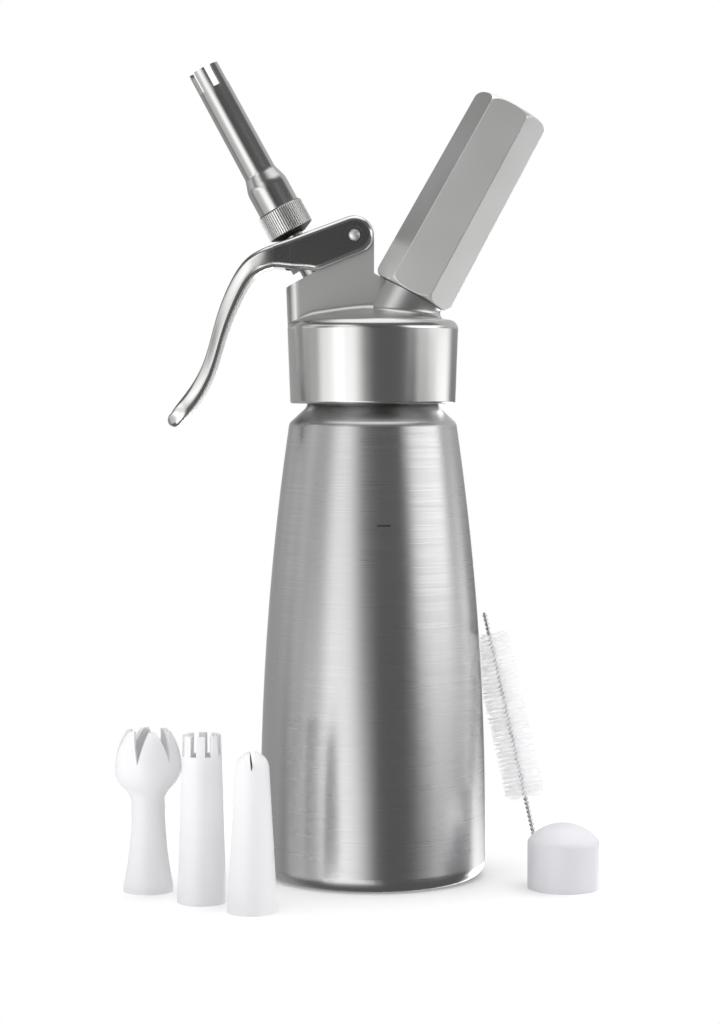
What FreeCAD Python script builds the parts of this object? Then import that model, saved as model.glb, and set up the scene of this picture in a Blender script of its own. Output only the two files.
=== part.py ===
"""Half-litre whipped cream dispenser with its decorating tips, cap and cleaning brush.

Millimetres, +Z up, origin at the centre of the bottle's flat base, lever and nozzle on the -X side.
Every size is a cell of the sheet Sizes; heights in the head are counted from the bottle's rim.
"""

import FreeCAD, Part
import math
import os

import Sketcher

doc = FreeCAD.newDocument("cream_dispenser")

# ---------------------------------------------------------------- driving dimensions
# alias, value, what it is
DIMENSIONS = [
    ("base_radius", 39.2, "bottle, largest outer radius"),
    ("base_corner", 5.0, "bottle, rounding between base and side"),
    ("straight_height", 20.0, "bottle, height where the side begins to lean in"),
    ("side_curve", 950.0, "bottle, radius of the long side curve"),
    ("shoulder_height", 157.2, "bottle, top of the side curve"),
    ("shoulder_rise", 5.8, "bottle, height of the slanted shoulder"),
    ("shoulder_round", 3.0, "bottle, roundings at both ends of the shoulder"),
    ("neck_radius", 22.9, "bottle, outer radius of the neck"),
    ("rim_height", 182.6, "bottle, height of the rim"),
    ("wall", 1.2, "bottle, sheet thickness"),
    ("gap", 0.3, "clearance between pieces that are screwed or laid together"),
    ("running_gap", 0.05, "radial clearance of shafts in their holes"),
    ("gasket_thickness", 2.5, "head gasket"),
    ("gasket_width", 2.7, "head gasket, from its inner to its outer radius"),
    ("skirt_depth", 18.6, "head, skirt below the rim"),
    ("skirt_radius", 28.9, "head, outer radius at the skirt's lower edge"),
    ("skirt_top_radius", 30.0, "head, outer radius where the dome begins"),
    ("skirt_top", 10.0, "head, height of the dome's edge over the rim"),
    ("dome_top", 15.4, "head, top of the dome over the rim"),
    ("dome_round", 3.2, "head, rounding between skirt and dome"),
    ("lead_in_radius", 25.2, "head, wide mouth below the thread"),
    ("lead_in_depth", 3.5, "head, depth of the wide mouth"),
    ("cavity_radius", 19.8, "head, hollow over the bottle's mouth"),
    ("cavity_top", 7.0, "head, roof of the hollow over the rim"),
    ("tower_width", 14.0, "head, thickness of the tower that carries the lever"),
    ("tower_front", 30.5, "head, front face of the valve housing from the axis"),
    ("front_inset", 0.15, "head, front face of the valve housing behind the skirt's taper"),
    ("tower_corner", 4.5, "head, rounded front corners of the valve housing"),
    ("tower_back", 6.85, "head, radius of the tower's back around the pivot"),
    ("blend", 2.0, "head, fillet where the port's boss grows out of the dome"),
    ("valve_reach", 20.5, "valve axis, where it leaves the housing, left of the bottle's axis"),
    ("valve_rise", 27.0, "valve axis, the same point over the rim"),
    ("valve_tilt", 28.5, "valve axis, lean to the left in degrees"),
    ("pivot_reach", 6.45, "lever pivot, left of the bottle's axis"),
    ("pivot_rise", 39.8, "lever pivot over the rim"),
    ("pin_radius", 2.0, "lever pivot pin"),
    ("pin_inset", 0.7, "pivot pin, its ends below the lever's cheeks"),
    ("lever_width", 20.0, "lever, over both cheeks"),
    ("lever_end", 6.8, "lever, radius of the cheeks' end around the pivot"),
    ("web_thickness", 2.4, "lever, top web between the cheeks"),
    ("handle_width", 13.4, "lever, handle"),
    ("lever_round", 1.8, "lever, rounding along its whole outline"),
    ("pad_radius", 2.0, "lever, rounded pads that press the valve's collar"),
    ("stem_radius", 3.2, "valve stem"),
    ("stem_bore", 1.9, "valve stem, cream passage"),
    ("stem_top", 22.0, "valve stem, end above the housing"),
    ("seat_depth", 24.0, "valve seat, below the housing's slope along the axis"),
    ("collar_flats", 11.7, "valve collar, across its flats"),
    ("collar_lift", 2.9, "valve collar, height over the housing at rest"),
    ("collar_height", 5.5, "valve collar, height of the hexagon"),
    ("sleeve_radius", 4.2, "valve collar, sleeve under the hexagon"),
    ("sleeve_depth", 1.5, "valve collar, sleeve's end inside the housing"),
    ("spring_pocket_radius", 5.2, "housing, pocket of the valve spring"),
    ("spring_pocket_depth", 9.0, "housing, pocket of the valve spring"),
    ("spring_wire", 0.9, "valve spring, wire diameter"),
    ("ring_radius", 8.2, "nozzle ring, outer radius over the knurl"),
    ("ring_bottom", 16.6, "nozzle ring, lower end of the knurl along the valve axis"),
    ("ring_height", 9.2, "nozzle ring, length of the knurl"),
    ("ring_cone", 1.6, "nozzle ring, height of the cone under the knurl"),
    ("knurl_depth", 0.35, "nozzle ring, depth of the knurl's grooves"),
    ("knurl_count", 60, "nozzle ring, number of grooves"),
    ("bulb_radius", 7.4, "nozzle, thick part above the ring"),
    ("bulb_height", 9.0, "nozzle, length of the thick part"),
    ("taper_height", 4.9, "nozzle, length of the step to the tube"),
    ("tube_radius", 5.8, "nozzle, tube above the step"),
    ("tip_radius", 5.6, "nozzle, tube at its tip"),
    ("nozzle_bore", 4.2, "nozzle, inner radius"),
    ("nozzle_tip", 81.1, "nozzle, tip along the valve axis"),
    ("slot_depth", 7.6, "nozzle, depth of the slots at the tip"),
    ("slot_width", 2.8, "nozzle, width of the slots"),
    ("slot_count", 5, "nozzle, number of slots at the tip"),
    ("slot_turn", 18.0, "nozzle, turn of the first slot from the front about its axis in degrees"),
    ("port_reach", 13.3, "charger axis, where it leaves the port, right of the bottle's axis"),
    ("port_rise", 19.6, "charger axis, the same point over the rim"),
    ("port_tilt", 28.7, "charger axis, lean to the right in degrees"),
    ("port_radius", 12.0, "head, boss of the charger port"),
    ("nipple_radius", 9.0, "head, threaded nipple inside the charger holder"),
    ("nipple_height", 8.8, "head, threaded nipple"),
    ("port_bore", 4.8, "head, bore of the nipple"),
    ("holder_flats", 25.4, "charger holder, across its flats at the mouth"),
    ("holder_draft", 0.72, "charger holder, draft of the flats in degrees"),
    ("holder_length", 74.0, "charger holder"),
    ("holder_end_wall", 3.0, "charger holder, closed end"),
    ("holder_turn", 4.5, "charger holder, turn of the hexagon about its axis in degrees"),
    ("holder_round", 3.0, "charger holder, turned rounding of both ends"),
    ("charger_radius", 9.0, "gas charger"),
    ("charger_length", 65.5, "gas charger"),
    ("charger_neck", 4.3, "gas charger, radius of its neck"),
    ("charger_wall", 1.3, "gas charger, wall"),
    ("tip_wall", 1.3, "decorating tips, wall"),
    ("tulip_height", 54.0, "tulip tip"),
    ("crown_height", 55.0, "crown tip"),
    ("slit_height", 51.7, "slit tip"),
    ("cap_radius", 12.1, "cap"),
    ("cap_height", 21.9, "cap"),
    ("cap_edge", 16.0, "cap, height where its dome begins"),
    ("cap_round", 2.5, "cap, rounding between side and dome"),
    ("cap_wall", 1.5, "cap, wall"),
    ("brush_lean", 13.8, "brush, lean from upright in degrees"),
    ("brush_turn", 153.4, "brush, direction of its lean in degrees from +X towards +Y"),
    ("wire_radius", 0.75, "brush, twisted wire"),
    ("wire_length", 93.6, "brush, twisted wire"),
    ("bristle_radius", 7.0, "brush, bristles"),
    ("bristle_start", 28.5, "brush, wire left bare below the bristles"),
    ("bristle_length", 57.5, "brush, length of the bristles"),
]


def as_size(item):
    return item if isinstance(item, Size) else Size(float(item), f"({float(item)})")


class Size:
    """A number together with the sheet expression that gives it."""

    def __init__(self, value, text):
        self.value, self.text = value, text

    def __add__(self, other):
        other = as_size(other)
        return Size(self.value + other.value, f"({self.text} + {other.text})")

    def __sub__(self, other):
        other = as_size(other)
        return Size(self.value - other.value, f"({self.text} - {other.text})")

    def __mul__(self, other):
        other = as_size(other)
        return Size(self.value * other.value, f"({self.text} * {other.text})")

    def __truediv__(self, other):
        other = as_size(other)
        return Size(self.value / other.value, f"({self.text} / {other.text})")

    def __neg__(self):
        return Size(-self.value, f"(-1 * {self.text})")

    def __radd__(self, other):
        return as_size(other) + self

    def __rsub__(self, other):
        return as_size(other) - self

    def __rmul__(self, other):
        return as_size(other) * self


def root(size):
    return Size(math.sqrt(size.value), f"sqrt({size.text})")


def sine(angle):
    return Size(math.sin(math.radians(angle.value)), f"sin({angle.text} * 1 deg)")


def cosine(angle):
    return Size(math.cos(math.radians(angle.value)), f"cos({angle.text} * 1 deg)")


class Sheet:
    """The driving dimensions as attributes, each kept in a spreadsheet cell with its alias."""

    def __init__(self, rows):
        cells = doc.addObject("Spreadsheet::Sheet", "Sizes")
        for row, (alias, value, note) in enumerate(rows, start=1):
            cells.set(f"A{row}", alias)
            cells.set(f"B{row}", str(value))
            cells.setAlias(f"B{row}", alias)
            cells.set(f"C{row}", note)
            setattr(self, alias, Size(float(value), f"Sizes.{alias}"))


d = Sheet(DIMENSIONS)
doc.recompute()

# ---------------------------------------------------------------- modelling helpers


def vector(x, y, z=0.0):
    return FreeCAD.Vector(as_size(x).value, as_size(y).value, as_size(z).value)


def bind(item, path, size):
    item.setExpression(path, as_size(size).text)


def place(item, x=0.0, y=0.0, z=0.0, tilt=None):
    """Puts an object at a point, leaning about the Y axis by tilt degrees (positive to the right)."""
    angle = tilt.value if tilt else 0.0
    turn = FreeCAD.Rotation(FreeCAD.Vector(0, 1, 0), angle)
    item.Placement = FreeCAD.Placement(vector(x, y, z), turn)
    for path, size in (("x", x), ("y", y), ("z", z)):
        bind(item, f"Placement.Base.{path}", size)
    if tilt:
        # an axis-angle placement turns the other way about -Y, so the angle itself stays positive
        item.Placement.Rotation = FreeCAD.Rotation(FreeCAD.Vector(0, 1 if angle > 0 else -1, 0), abs(angle))
        item.setExpression("Placement.Rotation.Angle", f"abs({tilt.text}) * 1 deg")
    return item


def on_valve_axis(item):
    return place(item, -d.valve_reach, 0, d.rim_height + d.valve_rise, -d.valve_tilt)


def on_port_axis(item):
    return place(item, d.port_reach, 0, d.rim_height + d.port_rise, d.port_tilt)


def new_body(name):
    return doc.addObject("PartDesign::Body", name)


def new_sketch(body, name, plane):
    sketch = body.newObject("Sketcher::SketchObject", name)
    support = next(f for f in body.Origin.OriginFeatures if f.Role == plane)
    sketch.AttachmentSupport = [(support, "")]
    sketch.MapMode = "FlatFace"
    return sketch


def add_loop(sketch, corners):
    """Adds a closed outline whose corners are bound to the sheet.

    A corner is (across, up) or (across, up, radius). The radius makes the side that leaves the corner an arc,
    with its centre left of the way round where it is positive and right of it where it is negative.
    """
    first = sketch.GeometryCount
    ends = []
    for index, corner in enumerate(corners):
        follower = corners[(index + 1) % len(corners)]
        start, end = vector(corner[0], corner[1]), vector(follower[0], follower[1])
        if len(corner) == 2:
            sketch.addGeometry(Part.LineSegment(start, end), False)
            ends.append((1, 2))
            continue
        radius = as_size(corner[2]).value
        side = math.copysign(1.0, radius)
        chord = end - start
        across = FreeCAD.Vector(-chord.y, chord.x, 0).normalize() * side
        centre = (start + end) / 2 + across * math.sqrt(radius**2 - (chord.Length / 2) ** 2)
        low, high = (start, end) if side > 0 else (end, start)
        angles = [math.atan2(p.y - centre.y, p.x - centre.x) for p in (low, high)]
        circle = Part.Circle(centre, FreeCAD.Vector(0, 0, 1), abs(radius))
        sketch.addGeometry(Part.ArcOfCircle(circle, angles[0], angles[1]), False)
        ends.append((1, 2) if side > 0 else (2, 1))
    for index, corner in enumerate(corners):
        here, after = first + index, first + (index + 1) % len(corners)
        sketch.addConstraint(
            Sketcher.Constraint("Coincident", here, ends[index][1], after, ends[(index + 1) % len(corners)][0])
        )
        for kind, size in (("DistanceX", corner[0]), ("DistanceY", corner[1])):
            size = as_size(size)
            number = sketch.addConstraint(Sketcher.Constraint(kind, -1, 1, here, ends[index][0], size.value))
            bind(sketch, f"Constraints[{number}]", size)
        if len(corner) == 3:
            size = as_size(corner[2]) if as_size(corner[2]).value > 0 else -as_size(corner[2])
            number = sketch.addConstraint(Sketcher.Constraint("Radius", here, size.value))
            bind(sketch, f"Constraints[{number}]", size)
    return sketch


def turn_profile(body, corners, name="profile"):
    """Revolves an outline of (radius, height) corners about the body's Z axis."""
    sketch = add_loop(new_sketch(body, f"{body.Name}_{name}", "XZ_Plane"), corners)
    turned = body.newObject("PartDesign::Revolution", f"{body.Name}_turned")
    turned.Profile = sketch
    turned.ReferenceAxis = (sketch, ["V_Axis"])
    turned.Angle = 360
    doc.recompute()
    return turned


def turned_body(name, corners):
    body = new_body(name)
    turn_profile(body, corners)
    return body


def round_rims(body, rims):
    """Fillets circular edges, each found by its radius and height and given its own rounding."""
    for number, (radius, height, rounding) in enumerate(rims):
        base = body.Tip
        names = [
            f"Edge{index}"
            for index, edge in enumerate(base.Shape.Edges, start=1)
            if not edge.Degenerated
            and isinstance(edge.Curve, Part.Circle)
            and abs(edge.Curve.Radius - as_size(radius).value) < 0.05
            and abs(edge.Curve.Center.z - as_size(height).value) < 0.05
        ]
        fillet = body.newObject("PartDesign::Fillet", f"{body.Name}_rim_{number}")
        fillet.Base = (base, names)
        fillet.Radius = as_size(rounding).value
        bind(fillet, "Radius", rounding)
        doc.recompute()


def hollow(body, wall, heights):
    """Shells a body inwards and opens its flat faces at the given heights."""
    base = body.Tip
    names = [
        f"Face{index}"
        for index, face in enumerate(base.Shape.Faces, start=1)
        if any(abs(face.BoundBox.ZMin - as_size(z).value) + face.BoundBox.ZLength < 0.02 for z in heights)
    ]
    shell = body.newObject("PartDesign::Thickness", f"{body.Name}_shell")
    shell.Base = (base, names)
    shell.Value = wall.value
    bind(shell, "Value", wall)
    shell.Reversed = True
    shell.Join = "Intersection"
    doc.recompute()


def pad(body, sketch, length, side="Symmetric"):
    """Pads a sketch, to both sides by half the length each unless one side is asked for."""
    feature = body.newObject("PartDesign::Pad", f"{sketch.Name}_pad")
    feature.Profile = sketch
    feature.SideType = side
    feature.Length = as_size(length).value
    bind(feature, "Length", length)
    doc.recompute()
    return feature


def pocket(body, sketch, length, side="Symmetric", backwards=False):
    """Cuts a sketch out of the body and refuses to go on if nothing was cut."""
    before = body.Tip.Shape.Volume
    feature = body.newObject("PartDesign::Pocket", f"{sketch.Name}_cut")
    feature.Profile = sketch
    feature.SideType = side
    feature.Reversed = backwards
    feature.Length = as_size(length).value
    bind(feature, "Length", length)
    doc.recompute()
    if feature.Shape.Volume > before - 1e-6:
        raise ValueError(f"{feature.Name} cuts nothing")
    return feature


def around(body, feature, count):
    """Repeats a feature around the body's Z axis."""
    pattern = body.newObject("PartDesign::PolarPattern", f"{feature.Name}_around")
    pattern.Originals = [feature]
    pattern.Axis = (next(f for f in body.Origin.OriginFeatures if f.Role == "Z_Axis"), [""])
    pattern.Angle = 360
    pattern.Occurrences = int(as_size(count).value)
    body.Tip = pattern
    doc.recompute()
    return pattern


def cylinder(name, radius, bottom, top, on_axis=None):
    """A round bar from bottom to top along Z, or along the axis that on_axis puts it on."""
    bar = doc.addObject("Part::Cylinder", name)
    radius, bottom, top = as_size(radius), as_size(bottom), as_size(top)
    bar.Radius, bar.Height = radius.value, top.value - bottom.value
    bind(bar, "Radius", radius)
    bind(bar, "Height", top - bottom)
    if on_axis is None:
        return place(bar, 0, 0, bottom)
    lean, reach, rise = on_axis
    return place(bar, reach + bottom * sine(lean), 0, d.rim_height + rise + bottom * cosine(lean), lean)


VALVE_AXIS = (-d.valve_tilt, -d.valve_reach, d.valve_rise)
PORT_AXIS = (d.port_tilt, d.port_reach, d.port_rise)


def cross_bar(name, radius, half_length, x, z):
    """A round bar across the dispenser, along Y."""
    bar = doc.addObject("Part::Cylinder", name)
    bar.Radius, bar.Height = radius.value, 2 * half_length.value
    bind(bar, "Radius", radius)
    bind(bar, "Height", 2 * half_length)
    bar.Placement = FreeCAD.Placement(
        vector(x, half_length, z), FreeCAD.Rotation(FreeCAD.Vector(1, 0, 0), 90)
    )
    for path, size in (("x", x), ("y", half_length), ("z", z)):
        bind(bar, f"Placement.Base.{path}", size)
    return bar


def combine(kind, name, base, tools):
    """Part::Cut or Part::Common of a base and one tool, or Part::MultiFuse of them all."""
    result = doc.addObject(kind, name)
    if kind == "Part::MultiFuse":
        result.Shapes = [base, *tools]
    else:
        tool = tools[0] if len(tools) == 1 else combine("Part::MultiFuse", f"{name}_tools", tools[0], tools[1:])
        result.Base, result.Tool = base, tool
    result.Refine = True
    doc.recompute()
    return result


pieces = {}


def keep(name, item):
    """Names a finished piece; the name is also its file's."""
    item.Label = name
    pieces[name] = item


# ---------------------------------------------------------------- bottle
# Deep drawn steel bottle: straight foot, one long curve up the side, slanted shoulder and threaded neck.
curve_centre = d.base_radius - d.side_curve
curve_rise = d.shoulder_height - d.straight_height
shoulder_radius = curve_centre + root(d.side_curve * d.side_curve - curve_rise * curve_rise)
bottle_outline = [
    (0, 0),
    (d.base_radius, 0),
    (d.base_radius, d.straight_height, d.side_curve),
    (shoulder_radius, d.shoulder_height),
    (d.neck_radius, d.shoulder_height + d.shoulder_rise),
    (d.neck_radius, d.rim_height),
    (0, d.rim_height),
]
bottle = turned_body("bottle_body", bottle_outline)
round_rims(
    bottle,
    [
        (d.base_radius, 0, d.base_corner),
        (shoulder_radius, d.shoulder_height, d.shoulder_round),
        (d.neck_radius, d.shoulder_height + d.shoulder_rise, d.shoulder_round),
    ],
)
hollow(bottle, d.wall, [d.rim_height])
keep("bottle", bottle)

# ---------------------------------------------------------------- head casting
# Cast steel head: round skirt with the bottle's thread, a flat tower that houses the dispensing valve and
# carries the lever, and the boss of the charger port.
seat_height = d.rim_height + d.gasket_thickness
skirt_bottom = d.rim_height - d.skirt_depth
thread_radius = d.neck_radius + d.gap
dome_edge = d.rim_height + d.skirt_top

skirt = turned_body(
    "head_skirt",
    [
        (0, skirt_bottom),
        (d.skirt_radius, skirt_bottom),
        (d.skirt_top_radius, dome_edge),
        (0, d.rim_height + d.dome_top),
    ],
)
round_rims(skirt, [(d.skirt_top_radius, dome_edge, d.dome_round), (d.skirt_radius, skirt_bottom, 0.8)])

# The tower's side outline, counter-clockwise from the inside of the skirt under the port.
pivot_height = d.rim_height + d.pivot_rise
valve_height = d.rim_height + d.valve_rise
port_height = d.rim_height + d.port_rise
lean_across, lean_up = cosine(d.valve_tilt), sine(d.valve_tilt)
front_lift = (d.tower_front - d.valve_reach) * lean_up / lean_across
collar_corner = d.collar_flats / math.sqrt(3)
tower_offset = collar_corner + 0.75
step_height = 7.4
tower_left = (-d.valve_reach + tower_offset * lean_across, valve_height + tower_offset * lean_up)
tower_step = (tower_left[0] - step_height * lean_up, tower_left[1] + step_height * lean_across)
web_relief = d.lever_end - d.web_thickness - 2 * d.gap
back_edge = -d.pivot_reach + d.tower_back
port_slope = sine(d.port_tilt) / cosine(d.port_tilt)
tower = new_body("head_tower")
tower_sketch = add_loop(
    new_sketch(tower, "tower_outline", "XZ_Plane"),
    [
        (d.port_reach, d.rim_height + 4),
        (d.port_reach, port_height),
        (back_edge, port_height + (d.port_reach - back_edge) * port_slope),
        (back_edge, pivot_height, d.tower_back),
        (-d.pivot_reach, pivot_height + d.tower_back),
        (-d.pivot_reach, pivot_height + web_relief),
        (-d.pivot_reach - 2.5, pivot_height + web_relief - 0.6),
        tower_step,
        tower_left,
        (-d.tower_front - 2, valve_height - front_lift - 2 * lean_up / lean_across),
        (-d.tower_front - 2, d.rim_height + 4),
    ],
)
pad(tower, tower_sketch, d.tower_width)
taper = (d.skirt_top_radius - d.skirt_radius) / (d.skirt_depth + d.skirt_top)
front_limit = turned_body(
    "head_front_limit",
    [
        (0, skirt_bottom),
        (d.skirt_radius - d.front_inset, skirt_bottom),
        (d.skirt_radius - d.front_inset + taper * (d.skirt_depth + 50), d.rim_height + 50),
        (0, d.rim_height + 50),
    ],
)
trimmed_tower = combine("Part::Common", "head_trimmed_tower", tower, [front_limit])


def fillet_edges(name, base, rounding, wanted):
    """Part::Fillet of the edges that a test of their bounding box picks."""
    rounded = doc.addObject("Part::Fillet", name)
    rounded.Base = base
    rounded.Edges = [
        (index, rounding.value, rounding.value)
        for index, edge in enumerate(base.Shape.Edges, start=1)
        if wanted(edge, edge.BoundBox)
    ]
    doc.recompute()
    return rounded


rounded_tower = fillet_edges(
    "head_rounded_tower",
    trimmed_tower,
    d.tower_corner,
    lambda edge, box: box.XMax < -d.tower_front.value + 3 and box.ZLength > 10,
)

port_boss = cylinder("head_port_boss", d.port_radius, -16, 0, PORT_AXIS)
casting = combine("Part::MultiFuse", "head_casting", skirt, [rounded_tower, port_boss])
boss_foot = d.rim_height + d.dome_top
blended_casting = fillet_edges(
    "head_blended",
    casting,
    d.blend,
    lambda edge, box: box.XMin > -d.blend.value and box.YLength > 10 and box.ZMax < boss_foot.value,
)
hollow_casting = combine(
    "Part::Cut",
    "head_hollow",
    blended_casting,
    [
        cylinder("thread_bore", thread_radius, skirt_bottom - 1, seat_height),
        cylinder("lead_in", d.lead_in_radius, skirt_bottom - 1, skirt_bottom + d.lead_in_depth),
        cylinder("cavity", d.cavity_radius, seat_height - 1, d.rim_height + d.cavity_top),
    ],
)
seat_boss = cylinder("valve_seat_boss", d.spring_pocket_radius + 1.4, -d.seat_depth, -12, VALVE_AXIS)
nipple = cylinder("charger_nipple", d.nipple_radius, -1, d.nipple_height, PORT_AXIS)
bored_blank = combine("Part::MultiFuse", "head_with_bosses", hollow_casting, [seat_boss, nipple])
bore_radius = d.stem_radius + 2 * d.running_gap
gland_depth = d.spring_pocket_depth + 1.8
head = combine(
    "Part::Cut",
    "head_finished",
    bored_blank,
    [
        cylinder("valve_bore", bore_radius, -d.seat_depth - 5, 5, VALVE_AXIS),
        cylinder("spring_pocket", d.spring_pocket_radius, -d.spring_pocket_depth, 4, VALVE_AXIS),
        cylinder("seal_gland", d.stem_radius + 1.4, -gland_depth, -d.spring_pocket_depth + 1, VALVE_AXIS),
        cylinder("seat_pocket", d.spring_pocket_radius + 1.8, -d.seat_depth - 12, -d.seat_depth, VALVE_AXIS),
        cylinder("port_bore", d.port_bore, -3, d.nipple_height + 1, PORT_AXIS),
        cylinder("check_valve_bore", 2.6, -6.5, -2, PORT_AXIS),
        cylinder("gas_channel", 1.2, -20, -6, PORT_AXIS),
        cross_bar("pin_hole", d.pin_radius + 0.01, d.lever_width, -d.pivot_reach, pivot_height),
    ],
)
keep("head", head)

# Silicone ring between the bottle's rim and the head.
gasket_outer = d.neck_radius
head_gasket = turned_body(
    "gasket_body",
    [
        (gasket_outer - d.gasket_width, d.rim_height),
        (gasket_outer, d.rim_height),
        (gasket_outer, seat_height),
        (gasket_outer - d.gasket_width, seat_height),
    ],
)
keep("head_gasket", head_gasket)

# ---------------------------------------------------------------- dispensing valve
# Hollow stem with its sealing head inside the casting; the hexagonal collar outside takes the lever's push
# and the spring under it closes the valve again. Heights run along the valve axis from the housing's slope.
sealing_radius = d.spring_pocket_radius + 0.2
seal_thickness = 1.2
stem_head_top = -d.seat_depth - seal_thickness
valve_stem_blank = turned_body(
    "stem_body",
    [
        (0, stem_head_top - 2.4),
        (sealing_radius, stem_head_top - 2.4),
        (sealing_radius, stem_head_top),
        (d.stem_radius, stem_head_top),
        (d.stem_radius, d.stem_top),
        (d.stem_bore, d.stem_top),
        (d.stem_bore, stem_head_top + 1.2),
        (0, stem_head_top + 1.2),
    ],
)
on_valve_axis(valve_stem_blank)
inlet_height = stem_head_top + 3.4
lean_x, lean_z = -sine(d.valve_tilt), cosine(d.valve_tilt)
inlet = cross_bar(
    "stem_inlet",
    as_size(1.0),
    d.stem_radius + 1,
    -d.valve_reach + inlet_height * lean_x,
    valve_height + inlet_height * lean_z,
)
keep("valve_stem", combine("Part::Cut", "stem_finished", valve_stem_blank, [inlet]))

valve_seal = turned_body(
    "seal_body",
    [
        (d.stem_radius + 0.01, stem_head_top),
        (sealing_radius, stem_head_top),
        (sealing_radius, -d.seat_depth),
        (d.stem_radius + 0.01, -d.seat_depth),
    ],
)
keep("valve_seal", on_valve_axis(valve_seal))

stem_seal = turned_body(
    "stem_seal_body",
    [
        (d.stem_radius + d.running_gap, -gland_depth),
        (d.stem_radius + 1.3, -gland_depth),
        (d.stem_radius + 1.3, -d.spring_pocket_depth),
        (d.stem_radius + d.running_gap, -d.spring_pocket_depth),
    ],
)
keep("stem_seal", on_valve_axis(stem_seal))

washer_top = -d.spring_pocket_depth + 0.6
spring_washer = turned_body(
    "washer_body",
    [
        (bore_radius, -d.spring_pocket_depth),
        (d.spring_pocket_radius - 0.1, -d.spring_pocket_depth),
        (d.spring_pocket_radius - 0.1, washer_top),
        (bore_radius, washer_top),
    ],
)
keep("spring_washer", on_valve_axis(spring_washer))

collar_hex = doc.addObject("Part::Prism", "collar_hex")
collar_hex.Polygon = 6
bind(collar_hex, "Circumradius", collar_corner)
bind(collar_hex, "Height", d.collar_height)
collar_hex.Circumradius, collar_hex.Height = collar_corner.value, d.collar_height.value
place(
    collar_hex,
    -d.valve_reach + d.collar_lift * lean_x,
    0,
    valve_height + d.collar_lift * lean_z,
    -d.valve_tilt,
)
sleeve = cylinder("collar_sleeve", d.sleeve_radius, -d.sleeve_depth, d.collar_lift + 1, VALVE_AXIS)
collar_blank = combine("Part::MultiFuse", "collar_blank", collar_hex, [sleeve])
collar_bore = cylinder("collar_bore", d.stem_radius + 0.01, -5, d.stem_top, VALVE_AXIS)
keep("valve_collar", combine("Part::Cut", "collar_finished", collar_blank, [collar_bore]))

# Coil spring between washer and sleeve: a wire swept along a helix, its ends laid flat by short overlaps.
spring_mean = (d.stem_radius + d.spring_pocket_radius) / 2
spring_bottom = washer_top + d.spring_wire / 2
spring_top = -d.sleeve_depth - d.spring_wire / 2
helix = doc.addObject("Part::Helix", "spring_path")
helix.Pitch = (spring_top.value - spring_bottom.value) / 4
helix.Height = spring_top.value - spring_bottom.value
helix.Radius = spring_mean.value
bind(helix, "Radius", spring_mean)
bind(helix, "Height", spring_top - spring_bottom)
bind(helix, "Pitch", (spring_top - spring_bottom) / 4)
wire_section = doc.addObject("Part::Circle", "spring_section")
wire_section.Radius = d.spring_wire.value / 2
bind(wire_section, "Radius", d.spring_wire / 2)
wire_section.Placement = FreeCAD.Placement(
    vector(spring_mean, 0), FreeCAD.Rotation(FreeCAD.Vector(1, 0, 0), 90)
)
bind(wire_section, "Placement.Base.x", spring_mean)
doc.recompute()
spring = doc.addObject("Part::Sweep", "spring_swept")
spring.Sections = [wire_section]
spring.Spine = (helix, ["Edge1"])
spring.Solid = True
spring.Frenet = True
place(
    spring,
    -d.valve_reach + spring_bottom * lean_x,
    0,
    valve_height + spring_bottom * lean_z,
    -d.valve_tilt,
)
keep("valve_spring", spring)

# ---------------------------------------------------------------- nozzle
# Knurled ring that screws on the stem, a washer inside it and the slotted steel nozzle.
ring_top = d.ring_bottom + d.ring_height
cone_bottom = d.ring_bottom - d.ring_cone
nozzle_root = d.stem_top + 1.3
root_radius = d.nozzle_bore + 1.25
ring = turned_body(
    "ring_body",
    [
        (d.stem_radius + d.running_gap, cone_bottom),
        (d.stem_radius + 1.3, cone_bottom),
        (d.ring_radius - 0.3, d.ring_bottom),
        (d.ring_radius, d.ring_bottom + 0.3),
        (d.ring_radius, ring_top - 0.6),
        (d.ring_radius - 0.6, ring_top),
        (root_radius, ring_top),
        (root_radius, d.stem_top),
        (d.stem_radius + d.running_gap, d.stem_top),
    ],
)
groove = new_sketch(ring, "knurl_groove", "XY_Plane")
groove_half = math.pi * d.ring_radius / d.knurl_count * 0.55
add_loop(
    groove,
    [
        (d.ring_radius - d.knurl_depth, 0),
        (d.ring_radius + 0.4, -2.1 * groove_half),
        (d.ring_radius + 0.4, 2.1 * groove_half),
    ],
)
knurl = pocket(ring, groove, ring_top - 0.2, "One side", True)
around(ring, knurl, d.knurl_count)
keep("nozzle_ring", on_valve_axis(ring))

nozzle_seal = turned_body(
    "nozzle_seal_body",
    [
        (d.stem_bore, d.stem_top),
        (root_radius - 0.15, d.stem_top),
        (root_radius - 0.15, nozzle_root),
        (d.stem_bore, nozzle_root),
    ],
)
keep("nozzle_seal", on_valve_axis(nozzle_seal))

bulb_top = ring_top + d.bulb_height
taper_top = bulb_top + d.taper_height
nozzle = turned_body(
    "nozzle_body",
    [
        (d.nozzle_bore, nozzle_root),
        (root_radius, nozzle_root),
        (root_radius, ring_top),
        (d.bulb_radius, ring_top),
        (d.bulb_radius, bulb_top),
        (d.tube_radius, taper_top),
        (d.tip_radius, d.nozzle_tip),
        (d.nozzle_bore, d.nozzle_tip),
    ],
)
round_rims(nozzle, [(d.bulb_radius, bulb_top, 8.0), (d.tube_radius, taper_top, 5.0)])
slot = new_sketch(nozzle, "tip_slot", "XZ_Plane")
add_loop(
    slot,
    [
        (-d.slot_width / 2, d.nozzle_tip - d.slot_depth),
        (d.slot_width / 2, d.nozzle_tip - d.slot_depth),
        (d.slot_width / 2, d.nozzle_tip + 1),
        (-d.slot_width / 2, d.nozzle_tip + 1),
    ],
)
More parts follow.
